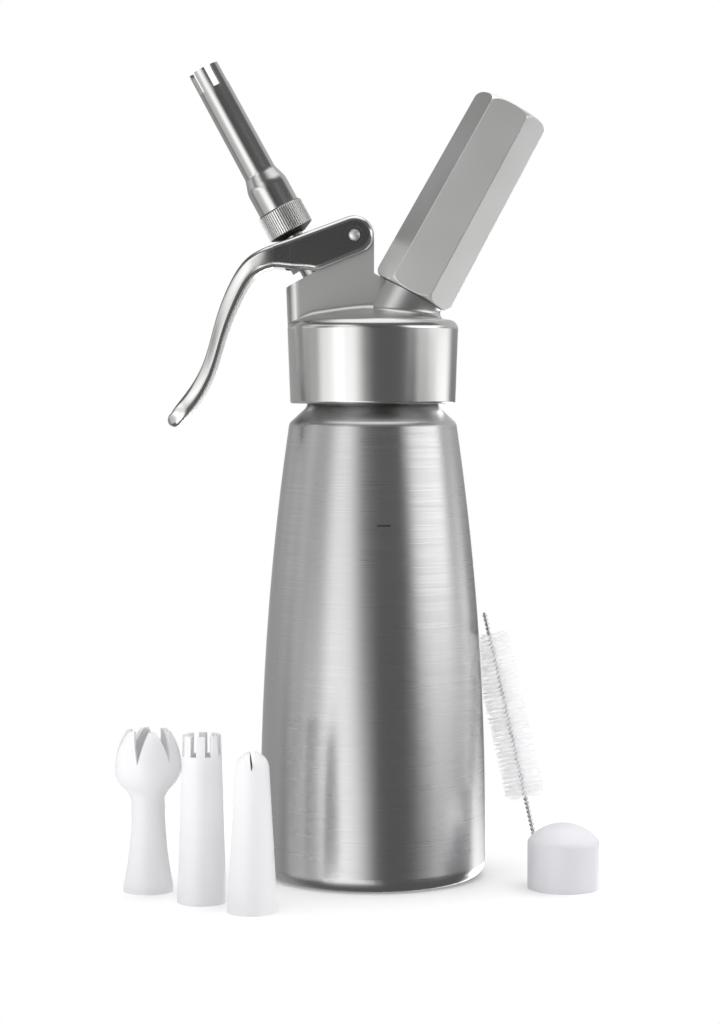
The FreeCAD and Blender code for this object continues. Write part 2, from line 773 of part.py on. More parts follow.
slot.AttachmentOffset = FreeCAD.Placement(
    FreeCAD.Vector(), FreeCAD.Rotation(FreeCAD.Vector(0, 1, 0), d.slot_turn.value)
)
bind(slot, "AttachmentOffset.Rotation.Angle", d.slot_turn * Size(1, "1 deg"))
slot_cut = pocket(nozzle, slot, d.tube_radius + 1, "One side", True)
around(nozzle, slot_cut, d.slot_count)
keep("nozzle_tube", on_valve_axis(nozzle))

# ---------------------------------------------------------------- lever
# Cast lever: two cheeks on the pivot, a web over them with a slot for the stem and a curved flat handle.
# The outlines run in the plane of the sides, measured from the pivot.
LEVER_SLOPE = as_size(20.4)  # lean of the web's top in degrees
WEB_LENGTH = 27.9
CHEEK_SLOPE = as_size(22.2)  # lean of the cheeks' lower edge in degrees
HANDLE_OUTER = [(-36.9, -7.6), (-43.15, -16.1), (-48.55, -30.1), (-53.6, -46.3), (-60.3, -56.8), (-64.1, -62.0)]
HANDLE_INNER = [(-61.2, -66.2), (-55.95, -60.6), (-49.4, -49.5), (-44.75, -34.9), (-38.85, -20.9)]
HANDLE_ROOT = [(-32.8, -12.9), (-27.65, -11.2), (-22.85, -11.6), (-15.0, -12.2), (-10.5, -11.63)]


def spline(points, first_direction=None, last_direction=None):
    """Smooth curve through points; its end directions are free where none is given."""
    curve = Part.BSplineCurve()
    ends = {}
    if first_direction and last_direction:
        ends = {"InitialTangent": first_direction, "FinalTangent": last_direction}
    curve.interpolate(Points=points, **ends)
    return curve


def along(slope, length, sign=-1):
    return FreeCAD.Vector(sign * length * cosine(slope).value, sign * length * sine(slope).value, 0)


end_radius = d.lever_end.value
web_start = FreeCAD.Vector(-end_radius * sine(LEVER_SLOPE).value, end_radius * cosine(LEVER_SLOPE).value, 0)
web_end = web_start + along(LEVER_SLOPE, WEB_LENGTH)
cheek_end = FreeCAD.Vector(end_radius * sine(CHEEK_SLOPE).value, -end_radius * cosine(CHEEK_SLOPE).value, 0)
outer = [web_end] + [vector(*point) for point in HANDLE_OUTER]
inner = [vector(*point) for point in HANDLE_INNER + HANDLE_ROOT]
tip_middle = (outer[-1] + inner[0]) / 2 + FreeCAD.Vector(-0.82, -0.57, 0) * (outer[-1] - inner[0]).Length / 2
lever = new_body("lever_body")
side = new_sketch(lever, "lever_side", "XZ_Plane")
for curve in (
    Part.LineSegment(web_start, web_end),
    spline(outer, along(LEVER_SLOPE, 30), FreeCAD.Vector(-6, -10, 0)),
    Part.Arc(outer[-1], tip_middle, inner[0]),
    spline(inner, FreeCAD.Vector(8, 9, 0), along(CHEEK_SLOPE, 12, 1)),
    Part.LineSegment(inner[-1], cheek_end),
    Part.Arc(cheek_end, FreeCAD.Vector(end_radius, 0, 0), web_start),
):
    side.addGeometry(curve, False)
pad(lever, side, d.lever_width)

# Seen from above the cheeks draw in to the handle in an S and the handle ends in a half round.
half_lever, half_handle = d.lever_width / 2, d.handle_width / 2
waist_start, waist_length = -22.0, 14.0
waist_drop = (half_lever - half_handle) / 2
waist_curve = (waist_drop * waist_drop + as_size((waist_length / 2) ** 2)) / (2 * waist_drop)
handle_tip = -65.4
handle_centre = handle_tip + half_handle
waist_middle = waist_start - waist_length / 2
waist_end = waist_start - waist_length
waist = add_loop(
    new_sketch(lever, "lever_waist", "XY_Plane"),
    [
        (waist_start, half_lever, waist_curve),
        (waist_middle, half_lever - waist_drop, -waist_curve),
        (waist_end, half_handle),
        (handle_centre, half_handle, half_handle),
        (handle_tip, 0, half_handle),
        (handle_centre, -half_handle),
        (waist_end, -half_handle, -waist_curve),
        (waist_middle, waist_drop - half_lever, waist_curve),
        (waist_start, -half_lever),
        (waist_start, -d.lever_width),
        (handle_tip - 10, -d.lever_width),
        (handle_tip - 10, d.lever_width),
        (waist_start, d.lever_width),
    ],
)
pocket(lever, waist, 200)

# One half is rounded along its whole outline and mirrored, so that both roundings meet at the handle's tip.
near_half = doc.addObject("Part::Box", "lever_near_half")
near_half.Length, near_half.Width, near_half.Height = 200, 50, 200
near_half.Placement.Base = FreeCAD.Vector(-100, 0, -100)
half_blank = combine("Part::Common", "lever_half", lever, [near_half])
rounded_half = fillet_edges(
    "lever_rounded_half",
    half_blank,
    d.lever_round,
    lambda edge, box: abs(box.ZMax - web_start.y) < 0.1 and box.YMin > half_lever.value - 0.01,
)
far_half = doc.addObject("Part::Mirroring", "lever_far_half")
far_half.Source = rounded_half
far_half.Normal = FreeCAD.Vector(0, 1, 0)
rounded_lever = combine("Part::MultiFuse", "lever_rounded", rounded_half, [far_half])

# The channel leaves the web over the valve; its far wall runs beside the valve axis.
channel_half = d.tower_width / 2 + d.gap
slope = sine(LEVER_SLOPE) / cosine(LEVER_SLOPE)
channel_start = -0.5
underside = (d.lever_end - d.web_thickness) / cosine(LEVER_SLOPE) + channel_start * slope
channel_end = -27.35
wall_foot = -19.8
channel = new_body("lever_channel_body")
channel_outline = add_loop(
    new_sketch(channel, "lever_channel", "XZ_Plane"),
    [
        (12, -20),
        (12, 12),
        (channel_start, 12),
        (channel_start, underside),
        (channel_end, underside + (channel_end - channel_start) * slope),
        (wall_foot, underside + (channel_end - channel_start) * slope - 7.55 * lean_across / lean_up),
        (wall_foot, -20),
    ],
)
pad(channel, channel_outline, 2 * channel_half)
lever_shell = combine("Part::Cut", "lever_shell", rounded_lever, [channel])
place(lever_shell, -d.pivot_reach, 0, pivot_height)

pad_lift = d.collar_lift + d.collar_height + d.gap + d.pad_radius
pads = cross_bar(
    "lever_pads",
    d.pad_radius,
    channel_half + 1,
    -d.valve_reach + pad_lift * lean_x,
    valve_height + pad_lift * lean_z,
)
lever_blank = combine("Part::MultiFuse", "lever_with_pads", lever_shell, [pads])

# Long hole for the stem: the lever swings while the stem only slides, so the hole is longer than wide.
slot_radius = d.stem_radius + 0.4
slot_ends = (-0.2, 1.0)


def beside_valve_axis(offset):
    return (-d.valve_tilt, -d.valve_reach + offset * lean_across, d.valve_rise + offset * lean_up)


slot_tools = [
    cylinder(f"stem_slot_{number}", slot_radius, 2, d.stem_top, beside_valve_axis(offset))
    for number, offset in enumerate(slot_ends)
]
slot_middle = doc.addObject("Part::Box", "stem_slot_middle")
slot_middle.Length, slot_middle.Width, slot_middle.Height = (
    slot_ends[1] - slot_ends[0],
    2 * slot_radius.value,
    d.stem_top.value - 2,
)
bind(slot_middle, "Width", 2 * slot_radius)
bind(slot_middle, "Height", d.stem_top - 2)
place(
    slot_middle,
    -d.valve_reach + slot_ends[0] * lean_across + 2 * lean_x,
    -slot_radius,
    valve_height + slot_ends[0] * lean_up + 2 * lean_z,
    -d.valve_tilt,
)
recess = combine(
    "Part::Cut",
    "pin_recess",
    cross_bar("recess_bar", d.pin_radius + 1.1, half_lever + 1, -d.pivot_reach, pivot_height),
    [cross_bar("recess_floor", d.pin_radius + 2, half_lever - 0.6, -d.pivot_reach, pivot_height)],
)
lever_hole = cross_bar("lever_hole", d.pin_radius + d.running_gap, d.lever_width, -d.pivot_reach, pivot_height)
lever_finished = combine(
    "Part::Cut", "lever_finished", lever_blank, [*slot_tools, slot_middle, recess, lever_hole]
)
keep("lever", lever_finished)

pivot_pin = cross_bar("pin_bar", d.pin_radius, half_lever - d.pin_inset, -d.pivot_reach, pivot_height)
keep("pivot_pin", pivot_pin)

# ---------------------------------------------------------------- charger port
# Piercing pin on a disc at the bottom of the port, the seal around it and the rubber check valve under it.
disc_radius = d.port_bore - d.running_gap
piercing_pin = turned_body(
    "piercing_pin_body",
    [(0.5, -3), (disc_radius, -3), (disc_radius, 0), (1.1, 0), (1.1, 4.6), (0.5, 6)],
)
keep("piercing_pin", on_port_axis(piercing_pin))

charger_mouth = 3.0
seal_top = charger_mouth - d.gap
port_seal = turned_body(
    "port_seal_body",
    [(1.3, 0), (d.port_bore - 0.1, 0), (d.port_bore - 0.1, seal_top), (1.3, seal_top)],
)
keep("port_seal", on_port_axis(port_seal))
keep("check_valve", cylinder("check_valve_plug", 2.4, -6, -3.1, PORT_AXIS))

# Steel gas cartridge with its neck in the port, its shoulder an arc and its end a half sphere.
neck_top = charger_mouth + 6.5
shoulder_top = charger_mouth + 14
neck_step = d.charger_radius - d.charger_neck
neck_rise = shoulder_top - neck_top
shoulder_arc = (neck_step * neck_step + as_size(neck_rise * neck_rise)) / (2 * neck_step)
inner_radius = d.charger_radius - d.charger_wall
inner_arc = shoulder_arc - d.charger_wall
arc_centre = d.charger_radius - shoulder_arc
mouth_radius = as_size(1.5)
mouth_depth = root(inner_arc * inner_arc - (mouth_radius - arc_centre) * (mouth_radius - arc_centre))
charger_end = charger_mouth + d.charger_length
dome_start = charger_end - d.charger_radius
charger = turned_body(
    "charger_body",
    [
        (mouth_radius, charger_mouth),
        (d.charger_neck, charger_mouth),
        (d.charger_neck, neck_top, shoulder_arc),
        (d.charger_radius, shoulder_top),
        (d.charger_radius, dome_start, d.charger_radius),
        (0, charger_end),
        (0, charger_end - d.charger_wall, -inner_radius),
        (inner_radius, dome_start),
        (inner_radius, shoulder_top, -inner_arc),
        (mouth_radius, shoulder_top - mouth_depth),
    ],
)
keep("charger", on_port_axis(charger))

# Cast hexagonal holder over the cartridge: its flats draw in to the closed end by the mould's draft, and the
# six corners are turned round at both ends.
holder_corner = d.holder_flats / math.sqrt(3)
holder_end = d.gap + d.holder_length
end_corner = holder_corner - holder_end * sine(d.holder_draft) / cosine(d.holder_draft) * 2 / math.sqrt(3)
holder_hex = new_body("holder_hex")
hexagon = add_loop(
    new_sketch(holder_hex, "holder_section", "XY_Plane"),
    [
        (holder_corner * cosine(60 * k - d.holder_turn), holder_corner * sine(60 * k - d.holder_turn))
        for k in range(6)
    ],
)
drawn_hex = pad(holder_hex, hexagon, holder_end + 1, "One side")
drawn_hex.TaperAngle = -d.holder_draft.value
bind(drawn_hex, "TaperAngle", -d.holder_draft * Size(1, "1 deg"))
holder_barrel = turned_body(
    "holder_barrel",
    [(0, d.gap), (holder_corner, d.gap), (end_corner, holder_end), (0, holder_end)],
)
round_rims(holder_barrel, [(holder_corner, d.gap, d.holder_round), (end_corner, holder_end, d.holder_round)])
holder_solid = combine(
    "Part::Common", "holder_solid", on_port_axis(holder_hex), [on_port_axis(holder_barrel)]
)
holder_cavity = cylinder(
    "holder_cavity", d.nipple_radius + d.gap, -1, holder_end - d.holder_end_wall, PORT_AXIS
)
keep("charger_holder", combine("Part::Cut", "holder_finished", holder_solid, [holder_cavity]))

# ---------------------------------------------------------------- decorating tips and cap
# Three white plastic tips that screw over the nozzle, stood on their wide ends, and a domed cap.


def stand(tip, x, y, turn):
    """Stands a tip on the table, turned about its own axis by degrees."""
    place(tip, x, y)
    tip.Placement.Rotation = FreeCAD.Rotation(FreeCAD.Vector(0, 0, 1), turn)
    return tip


def arc_through(run, rise):
    """Radius of an arc that starts or ends upright and covers run across and rise up."""
    return (as_size(run) * run + as_size(rise) * rise) / (2 * as_size(run))


waist, belly, tulip_mouth = as_size(5.6), as_size(11.2), as_size(7.3)
middle_radius = (waist + belly) / 2
waist_height, middle_height, belly_height = 29, 35, 41
bend = arc_through(middle_radius - waist, middle_height - waist_height)
tulip = turned_body(
    "tulip_body",
    [
        (0, 0),
        (8.4, 0),
        (8.3, 2, -arc_through(8.3 - waist, waist_height - 2)),
        (waist, waist_height, -bend),
        (middle_radius, middle_height, bend),
        (belly, belly_height, arc_through(belly - tulip_mouth, d.tulip_height - belly_height)),
        (tulip_mouth, d.tulip_height),
        (0, d.tulip_height),
    ],
)
hollow(tulip, d.tip_wall, [0, d.tulip_height])
notch = add_loop(
    new_sketch(tulip, "tulip_notch", "XZ_Plane"),
    [
        (0, d.tulip_height - 10.5),
        (2.7, d.tulip_height + 1),
        (-2.7, d.tulip_height + 1),
    ],
)
around(tulip, pocket(tulip, notch, 15, "One side"), 6)
keep("tulip_tip", stand(tulip, -d.base_radius - 36.6, -31, -15))

crown = turned_body("crown_body", [(0, 0), (8.1, 0), (6.3, d.crown_height), (0, d.crown_height)])
hollow(crown, d.tip_wall, [0, d.crown_height])
gate = add_loop(
    new_sketch(crown, "crown_gate", "XZ_Plane"),
    [
        (-1.05, d.crown_height - 6.8),
        (1.05, d.crown_height - 6.8),
        (1.05, d.crown_height + 1),
        (-1.05, d.crown_height + 1),
    ],
)
around(crown, pocket(crown, gate, 15, "One side"), 8)
keep("crown_tip", stand(crown, -d.base_radius - 17.4, -49, 22.5))

slit_foot, slit_neck, slit_edge = as_size(8.2), as_size(5.5), 46
slit_dome = arc_through(slit_neck, d.slit_height - slit_edge)
slit = turned_body(
    "slit_body",
    [
        (slit_foot - d.tip_wall, 0),
        (slit_foot, 0),
        (slit_neck, slit_edge, slit_dome),
        (0, d.slit_height),
        (0, d.slit_height - d.tip_wall, d.tip_wall - slit_dome),
        (slit_neck - d.tip_wall, slit_edge),
    ],
)
mouth = add_loop(
    new_sketch(slit, "slit_mouth", "XZ_Plane"),
    [
        (-0.15, d.slit_height - 5.5),
        (0.15, d.slit_height - 5.5),
        (1.0, d.slit_height + 1),
        (-1.0, d.slit_height + 1),
    ],
)
pocket(slit, mouth, 30)
keep("slit_tip", place(slit, -d.base_radius - 0.1, -64, 0))

dome_radius = arc_through(d.cap_height - d.cap_edge, d.cap_radius)
inner_dome = dome_radius - d.cap_wall
inner_side = d.cap_radius - d.cap_wall
inner_edge = d.cap_height - dome_radius + root(inner_dome * inner_dome - inner_side * inner_side)
cap = turned_body(
    "cap_body",
    [
        (inner_side, 0),
        (d.cap_radius, 0),
        (d.cap_radius, d.cap_edge, dome_radius),
        (0, d.cap_height),
        (0, d.cap_height - d.cap_wall, -inner_dome),
        (inner_side, inner_edge),
    ],
)
round_rims(cap, [(d.cap_radius, d.cap_edge, d.cap_round)])
keep("cap", place(cap, d.base_radius + 25.2, -26.5, 0))

# ---------------------------------------------------------------- cleaning brush
# Bristles around a twisted wire, leaning against the bottle.
brush_foot = (d.base_radius + 19.6, as_size(-13), d.wire_radius * sine(d.brush_lean) + 0.02)


def brush_part(name, radius, start, length):
    """A round bar along the brush's wire, from start on."""
    bar = doc.addObject("Part::Cylinder", name)
    bar.Radius, bar.Height = as_size(radius).value, as_size(length).value
    bind(bar, "Radius", radius)
    bind(bar, "Height", length)
    lean = (
        sine(d.brush_lean) * cosine(d.brush_turn),
        sine(d.brush_lean) * sine(d.brush_turn),
        cosine(d.brush_lean),
    )
    spot = [foot + as_size(start) * step for foot, step in zip(brush_foot, lean)]
    turn_axis = FreeCAD.Vector(-sine(d.brush_turn).value, cosine(d.brush_turn).value, 0)
    bar.Placement = FreeCAD.Placement(vector(*spot), FreeCAD.Rotation(turn_axis, d.brush_lean.value))
    for path, size in zip("xyz", spot):
        bind(bar, f"Placement.Base.{path}", size)
    bind(bar, "Placement.Rotation.Angle", d.brush_lean * Size(1, "1 deg"))
    bind(bar, "Placement.Rotation.Axis.x", -sine(d.brush_turn))
    bind(bar, "Placement.Rotation.Axis.y", cosine(d.brush_turn))
    return bar


keep("brush_wire", brush_part("wire", d.wire_radius, 0, d.wire_length))
bristles = brush_part("bristle_cylinder", d.bristle_radius, d.bristle_start, d.bristle_length)
wire_hole = brush_part("wire_hole", d.wire_radius + d.running_gap, 0, d.wire_length + 5)
bottle_clearance = turned_body(
    "bottle_clearance",
    [
        (0, 0),
        (d.base_radius + d.gap, 0),
        (d.base_radius + d.gap, d.straight_height, d.side_curve + d.gap),
        (shoulder_radius + d.gap, d.shoulder_height),
        (0, d.shoulder_height),
    ],
)
keep("brush_bristles", combine("Part::Cut", "bristles_cut", bristles, [wire_hole, bottle_clearance]))

# ---------------------------------------------------------------- check and export
doc.recompute()
faulty = [item.Name for item in doc.Objects if {"Invalid", "Error"} & set(item.State)]
if faulty:
    raise ValueError(f"objects in error: {faulty}")
os.makedirs("parts", exist_ok=True)
for name, item in pieces.items():
    if item.Shape.isNull() or not item.Shape.isValid():
        raise ValueError(f"{name} is not a valid shape")
    item.Shape.exportStep(f"parts/{name}.step")
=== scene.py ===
"""Whipped cream dispenser with its decorating tips, cap and cleaning brush, dressed for a white studio table."""

import math

import bmesh
import bpy
import numpy as np
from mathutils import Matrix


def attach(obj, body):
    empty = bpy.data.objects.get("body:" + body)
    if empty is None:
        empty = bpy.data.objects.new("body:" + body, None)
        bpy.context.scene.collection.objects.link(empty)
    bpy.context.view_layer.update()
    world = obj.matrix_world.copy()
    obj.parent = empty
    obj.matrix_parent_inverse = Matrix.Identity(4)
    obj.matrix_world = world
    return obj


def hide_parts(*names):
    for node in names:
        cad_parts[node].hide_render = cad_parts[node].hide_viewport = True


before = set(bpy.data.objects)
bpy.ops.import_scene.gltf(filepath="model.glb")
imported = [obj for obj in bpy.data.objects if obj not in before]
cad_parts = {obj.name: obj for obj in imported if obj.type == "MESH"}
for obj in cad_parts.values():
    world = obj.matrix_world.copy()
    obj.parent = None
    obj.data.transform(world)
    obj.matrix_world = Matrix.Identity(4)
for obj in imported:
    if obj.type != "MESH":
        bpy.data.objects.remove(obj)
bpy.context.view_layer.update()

# ---------------------------------------------------------------- bottle
# Deep drawn stainless steel bottle, brushed on a lathe, so the lines of the brushing run round it and the light
# spreads up and down in tall soft bands. A short etched line on its front marks the fill height.
MM = 0.001
BRUSHING_GRAIN, BRUSHING_DEPTH = (40.0, 40.0, 0.4), 0.00004
FILL_MARK_X, FILL_MARK_Z = (1.2, 5.9), (122.65, 123.2)
BOTTLE_TONE, MARK_TONE = "#C8C8C8", "#5E5E60"


def linear(hex_colour):
    """sRGB hex value to the linear colour that a shader takes."""
    parts = [int(hex_colour[i : i + 2], 16) / 255 for i in (1, 3, 5)]
    return tuple(c / 12.92 if c <= 0.04045 else ((c + 0.055) / 1.055) ** 2.4 for c in parts) + (1.0,)


def add_node(tree, kind, inputs=(), **settings):
    """Adds a node, sets its attributes, and sets or links each input given as (socket, value or output)."""
    node = tree.nodes.new(kind)
    for key, value in settings.items():
        setattr(node, key, value)
    for socket, value in inputs:
        if isinstance(value, bpy.types.NodeSocket):
            tree.links.new(value, node.inputs[socket])
        else:
            node.inputs[socket].default_value = value
    return node


def new_material(name, colour, roughness, metallic=0.0, **sockets):
    """A Principled material; further sockets by name, with underscores for spaces."""
    material = bpy.data.materials.new(name)
    material.use_nodes = True
    shader = material.node_tree.nodes["Principled BSDF"]
    shader.inputs["Base Color"].default_value = linear(colour)
    shader.inputs["Roughness"].default_value = roughness
    shader.inputs["Metallic"].default_value = metallic
    for socket, value in sockets.items():
        shader.inputs[socket.replace("_", " ")].default_value = value
    return material, material.node_tree, shader


def finish_node(node_name, material):
    """Gives a CAD node its material."""
    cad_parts[node_name].material_slots[0].material = material


def ramp(tree, value, start, end, low=0.0, high=1.0):
    """Low before start, high after end, smooth between; it also runs from a start above the end."""
    node = add_node(
        tree,
        "ShaderNodeMapRange",
        [("Value", value), ("From Min", start), ("From Max", end), ("To Min", low), ("To Max", high)],
        interpolation_type="SMOOTHSTEP",
    )
    return node.outputs[0]


def combine_values(tree, operation, *values):
    """Chains a Math operation over two or more values."""
    result = values[0]
    for value in values[1:]:
        result = add_node(tree, "ShaderNodeMath", [(0, result), (1, value)], operation=operation).outputs[0]
    return result


def coordinates(tree, kind="Object"):
    """The vector of that kind where the surface is shaded, and its parts along X, Y and Z."""
    vector = add_node(tree, "ShaderNodeTexCoord").outputs[kind]
    return vector, add_node(tree, "ShaderNodeSeparateXYZ", [(0, vector)]).outputs


def between(tree, value, edges_mm, fade_mm=0.1):
    """1 between two places in mm and 0 outside them, with a soft step at each."""
    low, high = edges_mm
    return combine_values(
        tree,
        "MULTIPLY",
        ramp(tree, value, (low - fade_mm) * MM, (low + fade_mm) * MM),
        ramp(tree, value, (high + fade_mm) * MM, (high - fade_mm) * MM),
    )


def noise_lines(tree, lengths_mm, detail=3.0):
    """Noise whose grains are as long along X, Y and Z as given."""
    place, _ = coordinates(tree)
    scaled = add_node(
        tree, "ShaderNodeMapping", [("Vector", place), ("Scale", [1000 / length for length in lengths_mm])]
    )
    noise = add_node(
        tree,
        "ShaderNodeTexNoise",
        [("Vector", scaled.outputs[0]), ("Scale", 1.0), ("Detail", detail), ("Roughness", 0.6)],
    )
    return noise.outputs["Fac"]


def add_bump(tree, shader, height, depth_mm, strength=0.5):
    """A bump of the given depth on the shader's normal."""
    bump = add_node(
        tree, "ShaderNodeBump", [("Height", height), ("Distance", depth_mm * MM), ("Strength", strength)]
    )
    tree.links.new(bump.outputs[0], shader.inputs["Normal"])


def colour_by(tree, shader, factor, first, second):
    """The base colour goes from the first to the second as the factor goes from 0 to 1."""
    tones = [("Factor", factor), ("A", linear(first)), ("B", linear(second))]
    mixed = add_node(tree, "ShaderNodeMix", tones, data_type="RGBA")
    tree.links.new(mixed.outputs["Result"], shader.inputs["Base Color"])


bottle_steel, tree, shader = new_material(
    "stainless_steel_lathe_brushed", BOTTLE_TONE, 0.3, 1.0, Anisotropic=0.75, Anisotropic_Rotation=0.25
)
turning = add_node(tree, "ShaderNodeTangent", direction_type="RADIAL", axis="Z")
tree.links.new(turning.outputs[0], shader.inputs["Tangent"])
lines = noise_lines(tree, BRUSHING_GRAIN, 2.0)
add_bump(tree, shader, lines, BRUSHING_DEPTH)
_, axes = coordinates(tree)
on_front = ramp(tree, axes["Y"], -10 * MM, -11 * MM)
mark = combine_values(
    tree, "MULTIPLY", between(tree, axes["X"], FILL_MARK_X), between(tree, axes["Z"], FILL_MARK_Z), on_front
)
colour_by(tree, shader, mark, BOTTLE_TONE, MARK_TONE)
tree.links.new(
    combine_values(tree, "MAXIMUM", ramp(tree, lines, 0.3, 0.7, 0.27, 0.33), ramp(tree, mark, 0, 1, 0, 0.6)),
    shader.inputs["Roughness"],
)
finish_node("bottle", bottle_steel)

# ---------------------------------------------------------------- head
# Stainless steel casting. The round skirt is turned on a lathe; the dome and the tower over it are glass-blasted
# to an even satin, dullest on the tower's flat flanks. The tower grows out of the dome in a rolling fillet.
SKIRT_TOP, DOME_TOP, DOME_SLOPE, TOWER_FLANK = 192.6, 198.0, 0.18, 7.0
FILLET_FRONT, FILLET_BACK = -26.4, 1.2
TURNED, BLASTED, DULL_FLANK = 0.21, 0.13, 0.2
head_steel, tree, shader = new_material("cast_steel_satin", "#D0D0CF", 0.3, 1.0)
_, axes = coordinates(tree)
_, normal = coordinates(tree, "Normal")
sideways = add_node(tree, "ShaderNodeMath", [(0, normal["Y"])], operation="ABSOLUTE").outputs[0]
lever_side = ramp(tree, axes["X"], 4 * MM, 1 * MM)
flank = combine_values(tree, "MULTIPLY", ramp(tree, sideways, 0.95, 0.995), lever_side, DULL_FLANK)
above_skirt = ramp(tree, axes["Z"], (SKIRT_TOP - 1.5) * MM, (SKIRT_TOP + 1.0) * MM)
satin = combine_values(tree, "MULTIPLY", above_skirt, combine_values(tree, "ADD", flank, BLASTED))
tree.links.new(combine_values(tree, "ADD", satin, TURNED), shader.inputs["Roughness"])
add_bump(tree, shader, noise_lines(tree, (9.0, 9.0, 9.0), 2.0), 0.05, 0.25)
finish_node("head", head_steel)


def dome_fillet(name, side, radius=3.2, least=0.08, growth=5.0, inset=0.5, steps=30, arc_steps=10):
    """A ball of radius r rolls between the tower's flank, y = flank, and the dome, z = top - slope rho.

    Its centre is at height top - slope rho + r sqrt(1 + slope^2); the fillet is the arc between its two touching
    points, and three points inset into the casting close the section. From the front on, the ball grows from least
    to its full radius over a length of growth.
    """
    steepness = math.hypot(1, DOME_SLOPE)
    x = np.linspace(FILLET_FRONT, FILLET_BACK, steps)
    r = least + (radius - least) * np.clip((x - FILLET_FRONT) / growth, 0, 1) ** 0.7
    y = TOWER_FLANK + r
    rho = np.hypot(x, y)
    centre = np.stack([x, y, DOME_TOP - DOME_SLOPE * rho + r * steepness], axis=-1)
    to_dome = -np.stack([DOME_SLOPE * x / rho, DOME_SLOPE * y / rho, np.ones(steps)], axis=-1) / steepness
    to_flank = np.array([0.0, -1.0, 0.0])
    angle = np.arccos(to_dome @ to_flank)[:, None]
    section, normals = [], []
    for t in np.linspace(0, 1, arc_steps + 1):
        toward = (np.sin((1 - t) * angle) * to_flank + np.sin(t * angle) * to_dome) / np.sin(angle)
        section.append(centre + r[:, None] * toward)
        normals.append(-toward)
    for point in (
        section[-1] + inset * to_dome,
        np.stack([x, np.full(steps, TOWER_FLANK - inset), section[-1][:, 2] - inset], axis=-1),
        section[0] + inset * to_flank,
    ):
        section.append(point)
        normals.append(to_dome)
    grid = np.stack(section, axis=1)
    grid[:, :, 1] *= side
    normals = np.stack(normals, axis=1) * np.array([1, side, 1])
    return closed_strip(name, grid, normals, side > 0)


def closed_strip(name, grid, normals=None, turned=False):
    """A closed tube through rings of points in mm, its two ends filled; turned flips it inside out."""
    rings, count = grid.shape[:2]
    first = np.arange(rings - 1)[:, None] * count
    here = np.arange(count)[None, :]
    after = (here + 1) % count
    faces = np.stack([first + here, first + after, first + count + after, first + count + here], axis=-1)
    faces = faces.reshape(-1, 4).tolist()
    faces += [list(range(count))[::-1], [(rings - 1) * count + k for k in range(count)]]
    if turned:
        faces = [face[::-1] for face in faces]
    mesh = bpy.data.meshes.new(name)
    mesh.from_pydata((grid.reshape(-1, 3) * MM).tolist(), [], faces)
    mesh.polygons.foreach_set("use_smooth", [True] * len(faces))
    mesh.update()
    if normals is not None:
        mesh.normals_split_custom_set_from_vertices(normals.reshape(-1, 3).tolist())
    made = bpy.data.objects.new(name, mesh)
    bpy.context.scene.collection.objects.link(made)
    return made


for name, side in (("dome_fillet_front", -1), ("dome_fillet_back", 1)):
    fillet = dome_fillet(name, side)
    fillet.data.materials.append(head_steel)
    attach(fillet, "head")

# ---------------------------------------------------------------- seals
# Moulded silicone and nitrile rubber rings and washers, and the rubber plug of the non-return valve. They are
# pressed between the metal parts, and their skin is dull with fine uneven patches.


def vary(tree, shader, grain_mm, roughness, tones=None):
    """Noise of the given grain moves the roughness, and with tones the colour, between two values."""
    noise = noise_lines(tree, (grain_mm,) * 3, 1.0)
    tree.links.new(ramp(tree, noise, 0.25, 0.75, *roughness), shader.inputs["Roughness"])
    if tones:
        colour_by(tree, shader, ramp(tree, noise, 0.2, 0.8), *tones)


seal_rubber, tree, shader = new_material("silicone_rubber_grey", "#5A5A5C", 0.6)
vary(tree, shader, 1.5, (0.5, 0.7), ("#545456", "#606062"))
for name in ("head_gasket", "valve_seal", "stem_seal", "nozzle_seal", "port_seal", "check_valve"):
    finish_node(name, seal_rubber)

# ---------------------------------------------------------------- valve and turned parts
# Turned stainless steel. The stem and the spout are polished; the washer, collar, spring and piercing pin are left
# as they come off the lathe. The pivot pin is riveted over at both ends, which leaves low domes hammered dull.
PIVOT = np.array([-6.45, 222.4])
PIN_END = 9.28
plain_steel, tree, shader = new_material("turned_steel", "#B8B8B7", 0.25, 1.0)
vary(tree, shader, 0.8, (0.2, 0.32), ("#AEAEAD", "#BEBEBD"))
for name in ("spring_washer", "valve_collar", "valve_spring", "piercing_pin"):
    finish_node(name, plain_steel)
polished_steel, tree, shader = new_material("turned_steel_polished", "#CACAC9", 0.22, 1.0)
vary(tree, shader, 14.0, (0.2, 0.23))
for name in ("valve_stem", "nozzle_tube"):
    finish_node(name, polished_steel)
pin_steel, tree, shader = new_material("riveted_steel", "#F2F2F0", 0.5, 1.0)
vary(tree, shader, 0.9, (0.36, 0.56), ("#E4E4E2", "#F6F6F4"))
finish_node("pivot_pin", pin_steel)


def pin_dome(name, side, radius=1.9, height=0.55):
    """A ball's cap on the pin's end: each ring of the grid stands at its own angle from the ball's pole."""
    ball = (radius**2 + height**2) / (2 * height)
    angle = np.linspace(math.asin(radius / ball), 0.02, 9)
    round_it = np.linspace(0, 2 * math.pi, 32, endpoint=False)
    across = (ball * np.sin(angle))[:, None]
    out = side * (PIN_END + height - ball + ball * np.cos(angle))[:, None] + 0 * round_it
    grid = np.stack([PIVOT[0] + across * np.cos(round_it), out, PIVOT[1] + across * np.sin(round_it)], axis=-1)
    return closed_strip(name, grid, turned=side < 0)


for name, side in (("pivot_pin_dome_front", -1), ("pivot_pin_dome_back", 1)):
    dome = pin_dome(name, side)
    dome.data.materials.append(pin_steel)
    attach(dome, "head")

